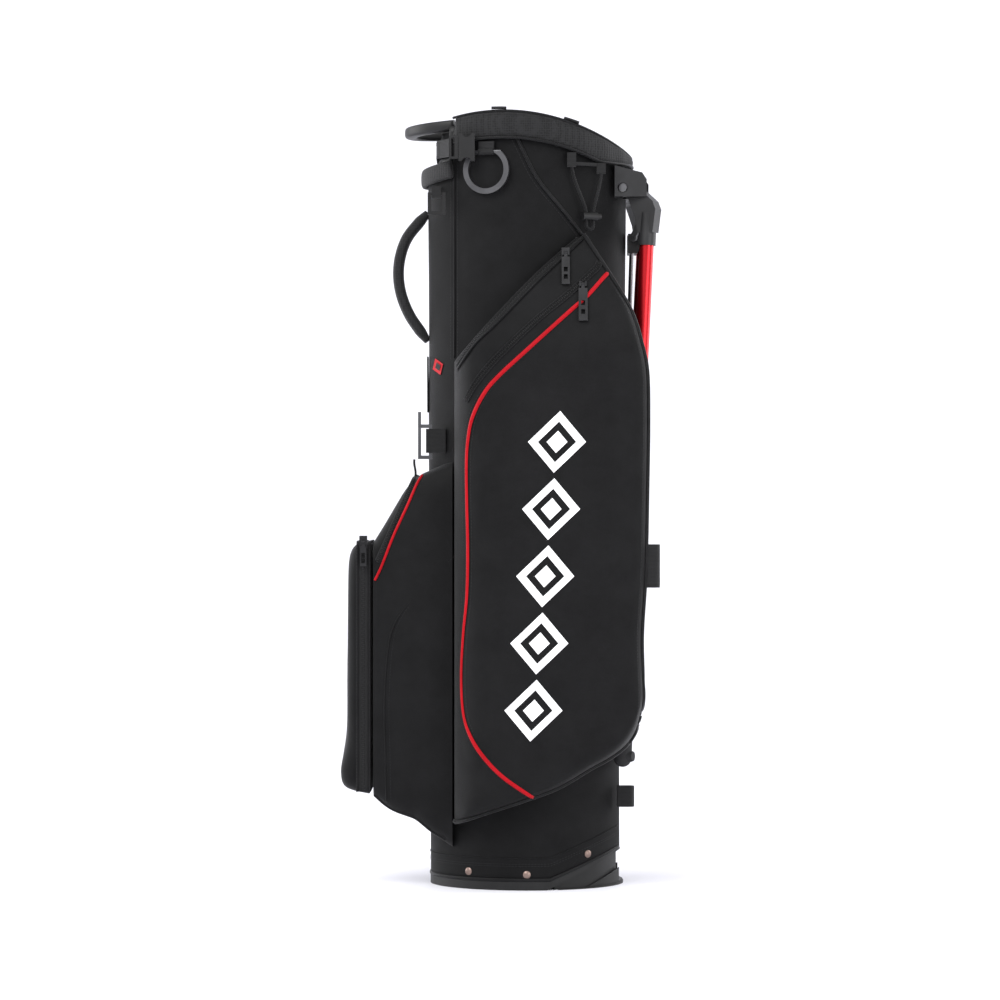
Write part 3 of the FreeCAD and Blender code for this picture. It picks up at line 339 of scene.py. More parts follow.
def sweep(name, path, up, section, material):
    """A closed section (side, up) carried along a path; the section may be a function of 0..1 along it."""
    points = []
    last = len(path) - 1
    for i, (point, side, lift) in enumerate(frames(path, up)):
        shape = section(i / last) if callable(section) else section
        points += [point + side * s + lift * u for s, u in shape]
    count = len(points) // len(path)
    faces = grid_faces(len(path), count, wrap_columns=True)
    faces.append(tuple(range(count)))
    faces.append(tuple(len(points) - count + k for k in range(count)))
    return make_mesh(name, points, faces, material)


def circle(radius, count=10):
    """A round section."""
    angles = [math.tau * k / count for k in range(count)]
    return [(radius * math.cos(angle), radius * math.sin(angle)) for angle in angles]


def squared(value, power):
    """A cosine or sine pushed outward, so that a round outline becomes a rounded rectangle."""
    return math.copysign(abs(value) ** (2 / power), value)


def mirrored(vector):
    """A point or direction carried over to the far side."""
    return Vector((vector.x, -vector.y, vector.z))


def soft_box(width, height, power=4.0, count=24):
    """A rounded rectangular section, width along the side and height along up."""
    shape = []
    for k in range(count):
        angle = math.tau * k / count
        across, along = squared(math.cos(angle), power), squared(math.sin(angle), power)
        shape.append((width / 2 * across, height / 2 * along))
    return shape


def join(name, objects):
    """Several meshes as one object."""
    work = bmesh.new()
    materials = []
    for obj in objects:
        for material in obj.data.materials:
            if material not in materials:
                materials.append(material)
    for obj in objects:
        start = len(work.faces)
        work.from_mesh(obj.data)
        work.faces.ensure_lookup_table()
        index = materials.index(obj.data.materials[0])
        for face in work.faces[start:]:
            face.material_index = index
    mesh = bpy.data.meshes.new(name)
    work.to_mesh(mesh)
    work.free()
    for material in materials:
        mesh.materials.append(material)
    for obj in objects:
        bpy.data.objects.remove(obj)
    result = bpy.data.objects.new(name, mesh)
    bpy.context.scene.collection.objects.link(result)
    return result


STITCH_OUTLINE = ((-1, 0, 0.0), (-0.6, 1, 0.5), (-0.6, -1, 0.5), (0.6, 1, 0.5), (0.6, -1, 0.5), (1, 0, 0.0))


def stitches(name, path, up, lift=0.35 * MM):
    """A row of short thread stitches just above a surface, following a path."""
    line = resample(path, STITCH)
    ups = up
    if isinstance(up, list):
        ups = [up[min(len(up) - 1, round(i * len(up) / len(line)))] for i in range(len(line))]
    points = []
    faces = []
    for point, side, high in frames(line, ups):
        along = high.cross(side).normalized()
        start = len(points)
        for a, b, c in STITCH_OUTLINE:
            place = point + along * (a * STITCH * 0.36) + side * (b * 0.35 * MM)
            points.append(place + high * (lift + c * 0.5 * MM))
        faces += [tuple(start + k for k in f) for f in ((0, 1, 2), (1, 3, 4, 2), (3, 5, 4))]
    return make_mesh(name, points, faces, THREAD)


# ---------------------------------------------------------------- the umbrella cord, made first
CORD_ROUTE = [
    (0.049, -0.093, 0.806), (0.051, -0.0926, 0.795), (0.0555, -0.0914, 0.783), (0.061, -0.0895, 0.770),
    (0.0656, -0.0876, 0.757), (0.0656, -0.087, 0.746), (0.0654, -0.087, 0.7375), (0.0734, -0.0836, 0.7375),
    (0.0732, -0.0834, 0.746), (0.0732, -0.083, 0.757), (0.0762, -0.0812, 0.770), (0.0794, -0.0792, 0.782),
    (0.0816, -0.0776, 0.792), (0.0824, -0.077, 0.800),
]
CORD_DIAMETER = 0.0036


def umbrella_cord():
    """Limp cord from one end of its webbing tab, through the lock and back to the other end."""
    curve = bpy.data.curves.new("umbrella_loop", "CURVE")
    curve.dimensions = "3D"
    curve.resolution_u = 12
    curve.bevel_depth = CORD_DIAMETER / 2
    curve.bevel_resolution = 4
    curve.use_fill_caps = True
    spline = curve.splines.new("NURBS")
    spline.points.add(len(CORD_ROUTE) - 1)
    for point, place in zip(spline.points, CORD_ROUTE):
        point.co = (*place, 1)
    spline.order_u = 3
    spline.use_endpoint_u = True
    curve.materials.append(BLACK_CORD)
    loop = bpy.data.objects.new("umbrella_loop", curve)
    bpy.context.scene.collection.objects.link(loop)
    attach(loop, "root")
    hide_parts("umbrella_cord")


umbrella_cord()


# ---------------------------------------------------------------- surfaces
def body_axes(z):
    """The body's two half-axes at a height."""
    t = z / BODY_TOP_Z
    return BODY_LOW_A + (BODY_TOP_A - BODY_LOW_A) * t, BODY_LOW_B + (BODY_TOP_B - BODY_LOW_B) * t


def body_y(x, z, offset=0.0):
    """Near side of the body, grown by offset; past the side it stays at the edge."""
    a, b = body_axes(z)
    return -(b + offset) * math.sqrt(max(0.0, 1.0 - (x / (a + offset)) ** 2))


def channel_x(z):
    """The flat on the leg side that the wires run in front of."""
    return (92 + 22 * (z / MM - 60) / 680) * MM


def crown(x):
    """Height of the collar's top edge."""
    return CROWN_Z - CROWN_DROP * (x - CROWN_X) ** 2


def hem_z(x):
    """Lower edge of the skirt."""
    turn = 25 * MM
    return 10 * MM + max(0.0, x - turn) * 0.4115


def top_z(x):
    """Upper edge of the body's cloth, under the collar."""
    if x < -83.5 * MM:
        return 800 * MM
    return min(crown(x) - 12 * MM, 845 * MM)


def fold(x, y, z, scale, amount, seed=0.0):
    """Soft uneven swelling of cloth."""
    return noise.noise(Vector((x * scale, y * scale, z * scale * 0.45 + seed))) * amount


SLOT_X = 84 * MM
SLOT_HALF = 28 * MM
SLOT_TOP = 72 * MM


def in_wire_slot(face, points):
    """Whether a face lies in the slot that the actuator wires come out of, at the foot of the leg side."""
    x, y, z = (sum(points[k][axis] for k in face) / len(face) for axis in range(3))
    return x > SLOT_X and abs(y) < SLOT_HALF and z < SLOT_TOP


def body_skin():
    """The bag's cloth tube with its inside, softly uneven."""
    columns = 260
    rows = 110
    points = []
    for inside in (0, 1):
        for i in range(rows):
            t = i / (rows - 1)
            for j in range(columns):
                angle = math.tau * j / columns
                c, s = math.cos(angle), math.sin(angle)
                x_low = BODY_LOW_A * c
                x_top = BODY_TOP_A * c
                z = hem_z(x_low) + (top_z(x_top) - hem_z(x_low)) * t
                a, b = body_axes(z)
                x, y = a * c, b * s
                swell = fold(x, y, z, 11.0, 1.1 * MM) + fold(x, y, z, 34.0, 0.35 * MM, 4.0)
                swell *= min(1.0, t * 8, (1 - t) * 8)
                out = (-CLOTH if inside else 0.0) + min(swell, 0.9 * MM)
                x += c * out
                y += s * out
                if abs(y) < CHANNEL_HALF + 2 * MM and x > 0:
                    edge = min(1.0, max(0.0, (CHANNEL_HALF + 2 * MM - abs(y)) / (3 * MM)))
                    flat = channel_x(z) - (CLOTH if inside else 0.0)
                    x = min(x, flat * edge + x * (1 - edge))
                points.append((x, y, z))
    faces = grid_faces(rows, columns, wrap_columns=True)
    faces += grid_faces(rows, columns, wrap_columns=True, start=rows * columns)
    shift = rows * columns
    for ring in (0, (rows - 1) * columns):
        for j in range(columns):
            k = (j + 1) % columns
            faces.append((ring + j, ring + k, ring + k + shift, ring + j + shift))
    faces = [face for face in faces if not in_wire_slot(face, points)]
    skin = make_mesh("body_cloth_tube", points, faces, BODY_CLOTH)
    return finish_piece(skin, ["body_shell"])


def around_body(z_of_x, offset, start, end, count=160):
    """Points round the body from one angle to another, and their outward directions."""
    path = []
    out = []
    for k in range(count + 1):
        angle = math.radians(start + (end - start) * k / count)
        z = z_of_x(BODY_LOW_A * math.cos(angle))
        a, b = body_axes(z)
        path.append(Vector(((a + offset) * math.cos(angle), (b + offset) * math.sin(angle), z)))
        out.append(Vector((math.cos(angle) / a, math.sin(angle) / b, 0)).normalized())
    return path, out


HEM_START = 21.0               # degrees from the leg side, clear of the slot for the wires


def hem_trim():
    """Binding and two stitch rows along the skirt's hem."""
    pieces = []
    path, out = around_body(lambda x: hem_z(x) + 1.6 * MM, 0.5 * MM, HEM_START, 360 - HEM_START)
    pieces.append(sweep("hem_binding", path, out, soft_box(3.4 * MM, 1.6 * MM, 3.0, 12), BLACK_CORD))
    for rise in (17 * MM, 19.4 * MM):
        path, out = around_body(lambda x, r=rise: hem_z(x) + r, 0.6 * MM, HEM_START, 360 - HEM_START)
        pieces.append(stitches("hem_stitch", path, out))
    groove, out = around_body(lambda x: hem_z(x) + 26 * MM, 0.3 * MM, HEM_START, 360 - HEM_START)
    pieces.append(sweep("hem_seam", groove, out, soft_box(1.2 * MM, 1.3 * MM, 2.0, 8), BODY_CLOTH))
    finish_piece(join("hem_trim", pieces))


# ---------------------------------------------------------------- near pocket surface
LOWER_EDGE = [(-82, 74), (-50, 87), (-8, 101), (33, 116), (68, 136), (99, 153), (118, 172), (128, 206)]
RIGHT_EDGE = [(128, 206), (126, 282), (130, 354), (132, 449), (133, 520), (132, 576), (126, 608), (116, 641),
              (102, 667), (83, 698), (62, 731)]
UPPER_EDGE = [(-82, 590), (-36, 640), (12, 687), (62, 731)]


def flat_path(points, step=2.0):
    """A smooth line in the plane of X and Z, in metres."""
    return smooth_path([Vector((x, 0, z)) * MM for x, z in points], step * MM)


def height_on(path, x):
    """Z of a left-to-right path at x."""
    for a, b in zip(path, path[1:]):
        if a.x <= x <= b.x:
            return a.z + (b.z - a.z) * (x - a.x) / max(b.x - a.x, 1e-9)
    return path[-1].z if x > path[-1].x else path[0].z


def across_on(path, z):
    """X of a bottom-to-top path at z."""
    for a, b in zip(path, path[1:]):
        if a.z <= z <= b.z:
            return a.x + (b.x - a.x) * (z - a.z) / max(b.z - a.z, 1e-9)
    return path[-1].x if z > path[-1].z else path[0].x


LOWER_PATH = flat_path(LOWER_EDGE)
RIGHT_PATH = flat_path(RIGHT_EDGE)
UPPER_PATH = flat_path(UPPER_EDGE)


def left_limit(z):
    """Left end of the near pocket at a height."""
    if z <= POCKET_TURN_Z:
        return POCKET_LEFT
    return across_on(UPPER_PATH, z)


def right_limit(z):
    """Right end of the near pocket at a height."""
    if z < POCKET_CORNER_Z:
        return across_on(LOWER_PATH, z)
    return across_on(RIGHT_PATH, z)


def rounded(distance, radius, power=2.3):
    """How far a puffed edge has risen: 0 at the edge, 1 past its radius."""
    t = min(1.0, max(0.0, distance / radius))
    return (1 - (1 - t) ** power) ** (1 / power)


def pocket_y(x, z):
    """The near pocket's front."""
    lean = max(0.0, z - SLOPE_Z)
    soft = 30 * MM
    lean = lean * lean / (lean + soft) + 0.12 * lean if lean < soft * 4 else lean - soft * 0.3
    front = POCKET_Y + SLOPE * lean
    front -= 1.6 * MM * math.sin(math.pi * min(1.0, max(0.0, (x / MM + 60) / 180)))
    front += fold(x, 0, z, 13.0, 1.0 * MM, 9.0) + fold(x, 0, z, 40.0, 0.3 * MM, 2.0)
    body = body_y(x, z, 1.2 * MM)
    left = rounded(x - POCKET_LEFT, 40 * MM)
    right = rounded(right_limit(z) - x, 15 * MM)
    bottom = rounded(z - height_on(LOWER_PATH, x), 24 * MM)
    top = rounded(height_on(UPPER_PATH, x) - z, 16 * MM) if x < POCKET_PEAK_X else 1.0
    rise = left * (0.55 + 0.45 * bottom) * (0.5 + 0.5 * top)
    rise = rise * (0.86 + 0.14 * right) if x > 0 else rise
    y = body + (front - body) * rise
    return y if x < 0 else min(y, -70 * MM)


WALL_X = 84 * MM                # leg-side limit of the line where the pocket's wall meets the body


def pocket_front(name, side):
    """The large side pocket: puffed front and the gusset that joins it to the body."""
    rows = 150
    columns = 74
    z_low = 74.5 * MM
    z_high = 730.5 * MM
    points = []
    for i in range(rows):
        z = z_low + (z_high - z_low) * i / (rows - 1)
        x0, x1 = left_limit(z), right_limit(z)
        for j in range(columns):
            u = j / (columns - 1)
            u = 0.5 - 0.5 * math.cos(math.pi * (0.35 * u + 0.65 * (0.5 - 0.5 * math.cos(math.pi * u))))
            x = x0 + (x1 - x0) * u
            points.append(Vector((x, pocket_y(x, z), z)))
    faces = grid_faces(rows, columns)
    border = list(range(columns))
    border += [(i + 1) * columns - 1 for i in range(1, rows)]
    border += [(rows - 1) * columns + j for j in range(columns - 2, -1, -1)]
    border += [i * columns for i in range(rows - 2, 0, -1)]
    steps = 7
    start = len(points)
    for k in range(1, steps + 1):
        t = k / steps
        for index in border:
            p = points[index]
            x_end = min(p.x, WALL_X)
            y_end = body_y(x_end, p.z, -0.3 * MM)
            x = p.x + (x_end - p.x) * t
            puff = 1.2 * MM * math.sin(math.pi * t)
            points.append(Vector((x + (puff if p.x > WALL_X else 0), p.y + (y_end - p.y) * t, p.z)))
    loop = len(border)
    for k in range(steps):
        for j in range(loop):
            n = (j + 1) % loop
            a = border[j] if k == 0 else start + (k - 1) * loop + j
            b = border[n] if k == 0 else start + (k - 1) * loop + n
            faces.append((a, b, start + k * loop + n, start + k * loop + j))
    if side == FAR:
        points = [mirrored(p) for p in points]
    return make_mesh(name, points, faces, POCKET_CLOTH)


def on_front(points, lift, side=NEAR):
    """A smooth line drawn on the pocket's front, and the outward direction along it."""
    path = []
    out = []
    for p in flat_path(points):
        here = Vector((p.x, pocket_y(p.x, p.z), p.z))
        dx = Vector((2 * MM, pocket_y(p.x + 2 * MM, p.z) - here.y, 0))
        dz = Vector((0, pocket_y(p.x, p.z + 2 * MM) - here.y, 2 * MM))
        normal = dx.cross(dz).normalized()
        if normal.y > 0:
            normal = -normal
        here = here + normal * lift
        if side == FAR:
            here = mirrored(here)
            normal = mirrored(normal)
        path.append(here)
        out.append(normal)
    return path, out


def cord_on_front(name, points, radius, material, side):
    """Corded edging on the pocket's front."""
    path, out = on_front(points, radius * 0.55, side)
    flange = sweep(name + "_flange", path, out, soft_box(radius * 3.0, radius * 0.5, 3.0, 10), material)
    bead = sweep(name, path, out, circle(radius), material)
    return join(name, [bead, flange])


RED_RADIUS = 1.5 * MM
RED_LINE = [(88, 686), (66, 661), (48, 645), (5, 606), (-31, 573), (-48, 553), (-61, 526), (-66, 500),
            (-67.5, 472), (-67, 430), (-66, 380), (-67, 330), (-71, 285), (-73, 240), (-71, 200), (-64, 176),
            (-50, 153), (-28, 130), (5, 107)]
BORDER_LOW = [(-81, 76), (-50, 88), (-8, 102), (33, 117), (68, 137), (98, 154), (117, 173), (127, 206),
              (125.5, 282), (129.5, 354), (131.5, 449), (132.5, 520), (131.5, 576), (125.5, 608), (115.5, 641),
              (101.5, 667), (82.5, 698), (62, 730)]
ZIP_UPPER_MID = [(-78, 584), (-60, 608), (-36, 633), (10, 681), (52, 720), (58, 726)]
ZIP_LOWER_MID = [(-68, 545), (-58, 563), (-40, 586), (-18, 608), (12, 636), (46, 664), (74, 690), (79, 698)]


def zip_lips(path, out, shift, width, thick, lift, row, material):
    """The two covering lips of a zip, each with a row of stitches."""
    pieces = []
    for edge in (-1, 1):
        lip = [(s + edge * shift, u + lift) for s, u in soft_box(width, thick, 3.0, 12)]
        pieces.append(sweep("lip", path, out, lip, material))
        line = [p + side * (edge * row) for p, side, _ in frames(path, out)]
        pieces.append(stitches("zip_stitch", line, out, 1.0 * MM))
    return pieces


def zip_on_front(name, points, width, side, replaced):
    """A closed zip: tape, two covering lips and a row of teeth between them."""
    path, out = on_front(points, 0.3 * MM, side)
    pieces = [sweep("tape", path, out, soft_box(width, 0.7 * MM, 4.0, 12), TAPE)]
    pieces += zip_lips(path, out, width * 0.30, width * 0.36, 1.0 * MM, 0.55 * MM, width * 0.42, BODY_CLOTH)
    pieces.append(teeth(path, out, 1.0 * MM))
    return finish_piece(join(name, pieces), replaced)


TOOTH_PITCH = 2.2 * MM
TOOTH_FACES = ((0, 3, 2, 1), (4, 5, 6, 7), (0, 1, 5, 4), (1, 2, 6, 5), (2, 3, 7, 6), (3, 0, 4, 7))


def teeth(path, out, lift, half=1.3 * MM):
    """Coil teeth, one small tapered block for each pitch."""
    line = resample(path, TOOTH_PITCH)
    points = []
    faces = []
    for i, (point, side, up) in enumerate(frames(line, nearest(out, len(line)))):
        along = up.cross(side).normalized() * 0.62 * MM
        across = side * half
        base = point + up * (lift - 0.3 * MM) + side * (0.35 * MM if i % 2 else -0.35 * MM)
        top = up * 0.95 * MM
        start = len(points)
        points += [base - along - across, base + along - across, base + along + across, base - along + across]
        points += [q + top - (q - base) * 0.3 for q in points[start:start + 4]]
        faces += [tuple(start + k for k in face) for face in TOOTH_FACES]
    return make_mesh("teeth", points, faces, PLASTIC, smooth=False)


def nearest(values, count):
    """A list of directions thinned or repeated to a new count."""
    if not isinstance(values, list):
        return values
    last = len(values) - 1
    return [values[min(last, round(i * last / max(1, count - 1)))] for i in range(count)]


def pocket_and_edges(side, cloth, red, black, nodes):
    """One pocket's cloth and its two corded edges, and the CAD nodes that each of the three stands for."""
    finish_piece(pocket_front(cloth, side), nodes[0])
    edge = cord_on_front(red, RED_LINE, RED_RADIUS, RED_CLOTH, side)
    finish_piece(edge, nodes[1])
    border = cord_on_front(black, BORDER_LOW, 2.0 * MM, BLACK_CORD, side)
    finish_piece(border, nodes[2])


def near_pocket_pieces():
    """Near pocket with its piping, zips and stitching."""
    pocket_and_edges(NEAR, "near_pocket_cloth", "red_corded_edge", "black_corded_edge",
                     (["garment_pocket", "upper_pocket"], ["red_piping"], ["border_piping"]))
    zip_on_front("upper_zip", ZIP_UPPER_MID, 12.5 * MM, NEAR, ["zip_chain_upper"])
    zip_on_front("garment_zip", ZIP_LOWER_MID, 8 * MM, NEAR, ["zip_chain_garment"])
    rows = []
    for shift in (4.5, -5.0):
        path, out = on_front([(x + shift, z) for x, z in RED_LINE[3:16]], 0.2 * MM)
        rows.append(stitches("red_row", path, out))
    path, out = on_front([(x - 5.5, z + 2.5) for x, z in BORDER_LOW[2:16]], 0.2 * MM)
    rows.append(stitches("border_row", path, out))
    finish_piece(join("near_pocket_stitching", rows))


def far_pocket_pieces():
    """Far pocket, the mirror of the near one."""
    pocket_and_edges(FAR, "far_pocket_cloth", "far_red_edge", "far_black_edge",
                     (["garment_pocket_far"], (), ()))
    zip_on_front("far_zip", ZIP_LOWER_MID, 8 * MM, FAR, ["zip_chain_far"])


# ---------------------------------------------------------------- emblem
PRINT_LIFT = 0.45 * MM
PATCH_STEPS = 8
DIAMONDS = 5
DIAMOND_HALF_WIDTH = 32.0      # millimetres, as is the half height
DIAMOND_HALF_HEIGHT = 37.0


def patch(name, corners):
    """A printed four-cornered patch on the near pocket; corners go round, in millimetres of X and Z."""
    points = []
    for i in range(PATCH_STEPS + 1):
        for j in range(PATCH_STEPS + 1):
            u, v = i / PATCH_STEPS, j / PATCH_STEPS
            weights = ((1 - u) * (1 - v), u * (1 - v), u * v, (1 - u) * v)
            x, z = (sum(w * c[axis] for w, c in zip(weights, corners)) * MM for axis in (0, 1))
            points.append(Vector((x, pocket_y(x, z) - PRINT_LIFT, z)))
    return make_mesh(name, points, grid_faces(PATCH_STEPS + 1, PATCH_STEPS + 1), PRINT)


def emblem():
    """Generic decoration: a leaning column of diamonds, each a band round a solid core."""
    pieces = []
    lean = DIAMOND_HALF_HEIGHT * 0.0956
    rise = DIAMOND_HALF_HEIGHT * 0.92
    for k in range(DIAMONDS):
        cx = 6.0 + 6.5 * k
        cz = 203.0 + 2 * DIAMOND_HALF_HEIGHT * k
        outer = [(cx - lean, cz - rise), (cx + DIAMOND_HALF_WIDTH, cz), (cx + lean, cz + rise),
                 (cx - DIAMOND_HALF_WIDTH, cz)]
        inner, core = ([(cx + (x - cx) * size, cz + (z - cz) * size) for x, z in outer]
                       for size in (0.66, 0.36))
        for a in range(4):
            b = (a + 1) % 4
            pieces.append(patch("band", [outer[a], outer[b], inner[b], inner[a]]))
        pieces.append(patch("core", core))
    finish_piece(join("white_diamonds", pieces))


# ---------------------------------------------------------------- ball side
SIDE_X0 = -84 * MM
SIDE_X1 = -173 * MM
SIDE_POWER = 9                 # how square the side pocket's section is
BALL_POWER = 7
BALL_LIMIT_X = -0.2125         # metres: the ball pocket never reaches past this
BALL_ZIP_X = -184.0            # millimetres, as are the next four
BALL_HALF = 67.4
BALL_TOP = 388.0
BALL_ZIP_FOOT = 108.0
BALL_CORNER = 15.0


def interpolate(table, x):
    """Value at x in a short table of (x, value) pairs that rises in x."""
    for (x0, v0), (x1, v1) in zip(table, table[1:]):
        if x <= x1:
            t = min(1.0, max(0.0, (x - x0) / (x1 - x0)))
            return v0 + (v1 - v0) * t
    return table[-1][1]


SIDE_TOP = [(-173, 388), (-163, 404), (-150, 426), (-140, 443), (-130, 457), (-118, 465), (-104, 471),
            (-84, 480)]
SIDE_LOW = [(-173, 101), (-162, 92), (-151, 84.5), (-138, 79), (-126, 75), (-115, 66), (-104, 58), (-84, 44)]
SIDE_HALF = [(-173, 70), (-110, 78), (-84, 80)]


def side_section(x):
    """Half-width, middle height and half-height of the side pocket at x, in metres."""
    half, low, high = (interpolate(table, x / MM) * MM for table in (SIDE_HALF, SIDE_LOW, SIDE_TOP))
    return half, (low + high) / 2, (high - low) / 2


def side_wave(x, z):
    """How far the side pocket's cloth swells out."""
    return fold(x, 0, z, 14.0, 1.6 * MM, 21.0) + fold(x, 0, z, 40.0, 0.4 * MM, 3.0)


def side_skin_y(x, z):
    """Near face of the side pocket."""
    half, middle, reach = side_section(x)
    t = min(1.0, abs(z - middle) / reach)
    return -(half * (1 - t ** SIDE_POWER) ** (1 / SIDE_POWER)) - side_wave(x, z) * (1 - t ** 4)


def side_pocket_skin():
    """The pocket between the body and the ball pocket."""
    columns = 34
    ring = 150
    points = []
    for i in range(columns):
        x = SIDE_X0 + (SIDE_X1 - SIDE_X0) * i / (columns - 1)
        half, middle, reach = side_section(x)
        for j in range(ring):
            angle = math.tau * j / ring
            s = math.sin(angle)
            y = half * squared(math.cos(angle), SIDE_POWER)
            z = middle + reach * squared(s, SIDE_POWER)
            y += math.copysign(side_wave(x, z) * (1 - abs(s) ** 4), y)
            points.append((x, y, z))
    faces = grid_faces(columns, ring, wrap_columns=True)
    faces.append(tuple((columns - 1) * ring + j for j in range(ring)))
    skin = make_mesh("side_pocket_cloth", points, faces, POCKET_CLOTH)
    finish_piece(skin, ["side_pocket"])


BALL_STATIONS = [(-173.6, 66.5, 102, 388), (-178, 67.2, 103, 388), (-184, 67.4, 104, 387.5),
                 (-190, 67, 105.5, 386.5), (-195, 65.5, 107, 384), (-199, 62.5, 109, 379),
                 (-201.6, 58, 112, 371), (-203, 50, 117, 360)]
BALL_CAP_RINGS = (0.82, 0.62, 0.42, 0.22, 0.06)


def ball_skin():
    """The ball pocket: a puffed box that sags and swells at its foot."""
    ring = 120
    stations = [(x, half, (low + high) / 2, (high - low) / 2) for x, half, low, high in BALL_STATIONS]
    x, half, middle, reach = stations[-1]
    stations += [(x - 1.6 * (1 - k), half * k, middle, reach * k) for k in BALL_CAP_RINGS]
    points = []
    for x, half, middle, reach in stations:
        for j in range(ring):
            angle = math.tau * j / ring
            y = half * squared(math.cos(angle), BALL_POWER)
            z = middle + reach * squared(math.sin(angle), BALL_POWER)
            depth = min(1.0, max(0.0, (BALL_ZIP_X - x) / 18.0))
            sag = 8.5 * depth * math.exp(-((z - 128) / 25.0) ** 2) * (1 - 0.35 * (y / 67) ** 4)
            wave = fold(0.2, y * MM, z * MM, 16.0, 1.5 * MM, 31.0) * depth
            points.append((max((x - sag) * MM + wave, BALL_LIMIT_X), y * MM, z * MM))
    faces = grid_faces(len(stations), ring, wrap_columns=True)
    faces.append(tuple((len(stations) - 1) * ring + j for j in range(ring)))
    faces.append(tuple(range(ring)))
    skin = make_mesh("ball_pocket_cloth", points, faces, POCKET_CLOTH)
    finish_piece(skin, ["ball_pocket"], levels=1)


def ball_zip_path():
    """Up the near side, across the top and down the far side of the ball pocket."""
    corner_y = -(BALL_HALF - BALL_CORNER)
    corner_z = BALL_TOP - BALL_CORNER
    path = []
    out = []
    for k in range(40):
        z = BALL_ZIP_FOOT + (corner_z - BALL_ZIP_FOOT) * k / 40
        path.append(Vector((BALL_ZIP_X, -BALL_HALF, z)) * MM)
        out.append(Vector((0, -1, 0)))
    for k in range(13):
        c, s = math.cos(math.pi / 2 * k / 12), math.sin(math.pi / 2 * k / 12)
        path.append(Vector((BALL_ZIP_X, corner_y - BALL_CORNER * c, corner_z + BALL_CORNER * s)) * MM)
        out.append(Vector((0, -c, s)))
    near = len(path)
    for k in range(1, 20):
        path.append(Vector((BALL_ZIP_X, corner_y - 2 * corner_y * k / 20, BALL_TOP)) * MM)
        out.append(UP.copy())
    down = [mirrored(p) for p in reversed(path[:near])]
    return path + down, out + [mirrored(o) for o in reversed(out[:near])]


def ball_zip():
    """Zip round the ball pocket."""
    path, out = ball_zip_path()
    pieces = [sweep("tape", path, out, soft_box(15 * MM, 0.6 * MM, 4.0, 12), TAPE)]
    pieces += zip_lips(path, out, 6.4 * MM, 3.4 * MM, 1.2 * MM, 0.6 * MM, 7.2 * MM, POCKET_CLOTH)
    pieces.append(teeth(path, out, 0.2 * MM, half=1.6 * MM))
    finish_piece(join("ball_zip", pieces), ["zip_chain_ball"])


def on_side(points, lift, side):
    """A line drawn on the side pocket's face, in millimetres of X and Z."""
    path = []
    out = []
    for p in flat_path(points):
        y = side_skin_y(p.x, p.z) - lift
        path.append(Vector((p.x, -side * y, p.z)))
        out.append(Vector((0, side, 0)))
    return path, out


def drink_pocket_tab():
    """Small upright pull at the head of the side pocket's slanting zip."""
    line = [Vector((-127.0 + 0.8 * math.sin(k * 0.5), -34.0, 459.0 + 2.0 * k)) * MM for k in range(12)]
    tab = sweep("drink_pocket_tab", line, Vector((0, 1, 0)), soft_box(2.6 * MM, 5.0 * MM, 3.0, 14), WEBBING)
    finish_piece(tab)


def side_trim():
    """Red edging, the drink pocket's zip line, seams and the bound lower edge of the side pocket."""
    red_line = [(-118, 463), (-124, 453), (-134, 430), (-150.5, 394), (-163, 362), (-171, 345)]
    zip_line = [(-124.5, 463), (-131, 448), (-141, 426), (-157, 390), (-168, 366)]
    seam = [(-88, 368), (-110, 347), (-132, 320), (-148, 297), (-156, 268), (-160, 208),
            (-159, 150), (-158, 96)]
    binding = [(-172, 104), (-160, 93), (-148, 86), (-126, 78), (-108, 64), (-92, 54)]
    for side, tag in ((NEAR, ""), (FAR, "_far")):
        path, out = on_side(red_line, 0.9 * MM, side)
        edge = sweep("side_red_edge" + tag, path, out, circle(RED_RADIUS), RED_CLOTH)
        finish_piece(edge)
        pieces = []
        path, out = on_side(zip_line, 0.4 * MM, side)
        pieces.append(sweep("tape", path, out, soft_box(7 * MM, 1.0 * MM, 3.0, 12), TAPE))
        pieces.append(teeth(path, out, 0.9 * MM))
        path, out = on_side(seam, 0.3 * MM, side)
        pieces.append(sweep("seam", path, out, soft_box(2.0 * MM, 1.6 * MM, 2.0, 10), POCKET_CLOTH))
        path, out = on_side([(x + 5, z + 3) for x, z in seam], 0.3 * MM, side)
        pieces.append(stitches("row", path, out))
        path, out = on_side(binding, 0.5 * MM, side)
        pieces.append(sweep("binding", path, out, circle(1.7 * MM), BLACK_CORD))
        finish_piece(join("side_pocket_trim" + tag, pieces))


# ---------------------------------------------------------------- top
def round_end(t):
    """How full a padded end is: 0 at its tip, 1 from t = 1 on."""
    return math.sqrt(max(0.0, 1 - (1 - min(1.0, t)) ** 2))


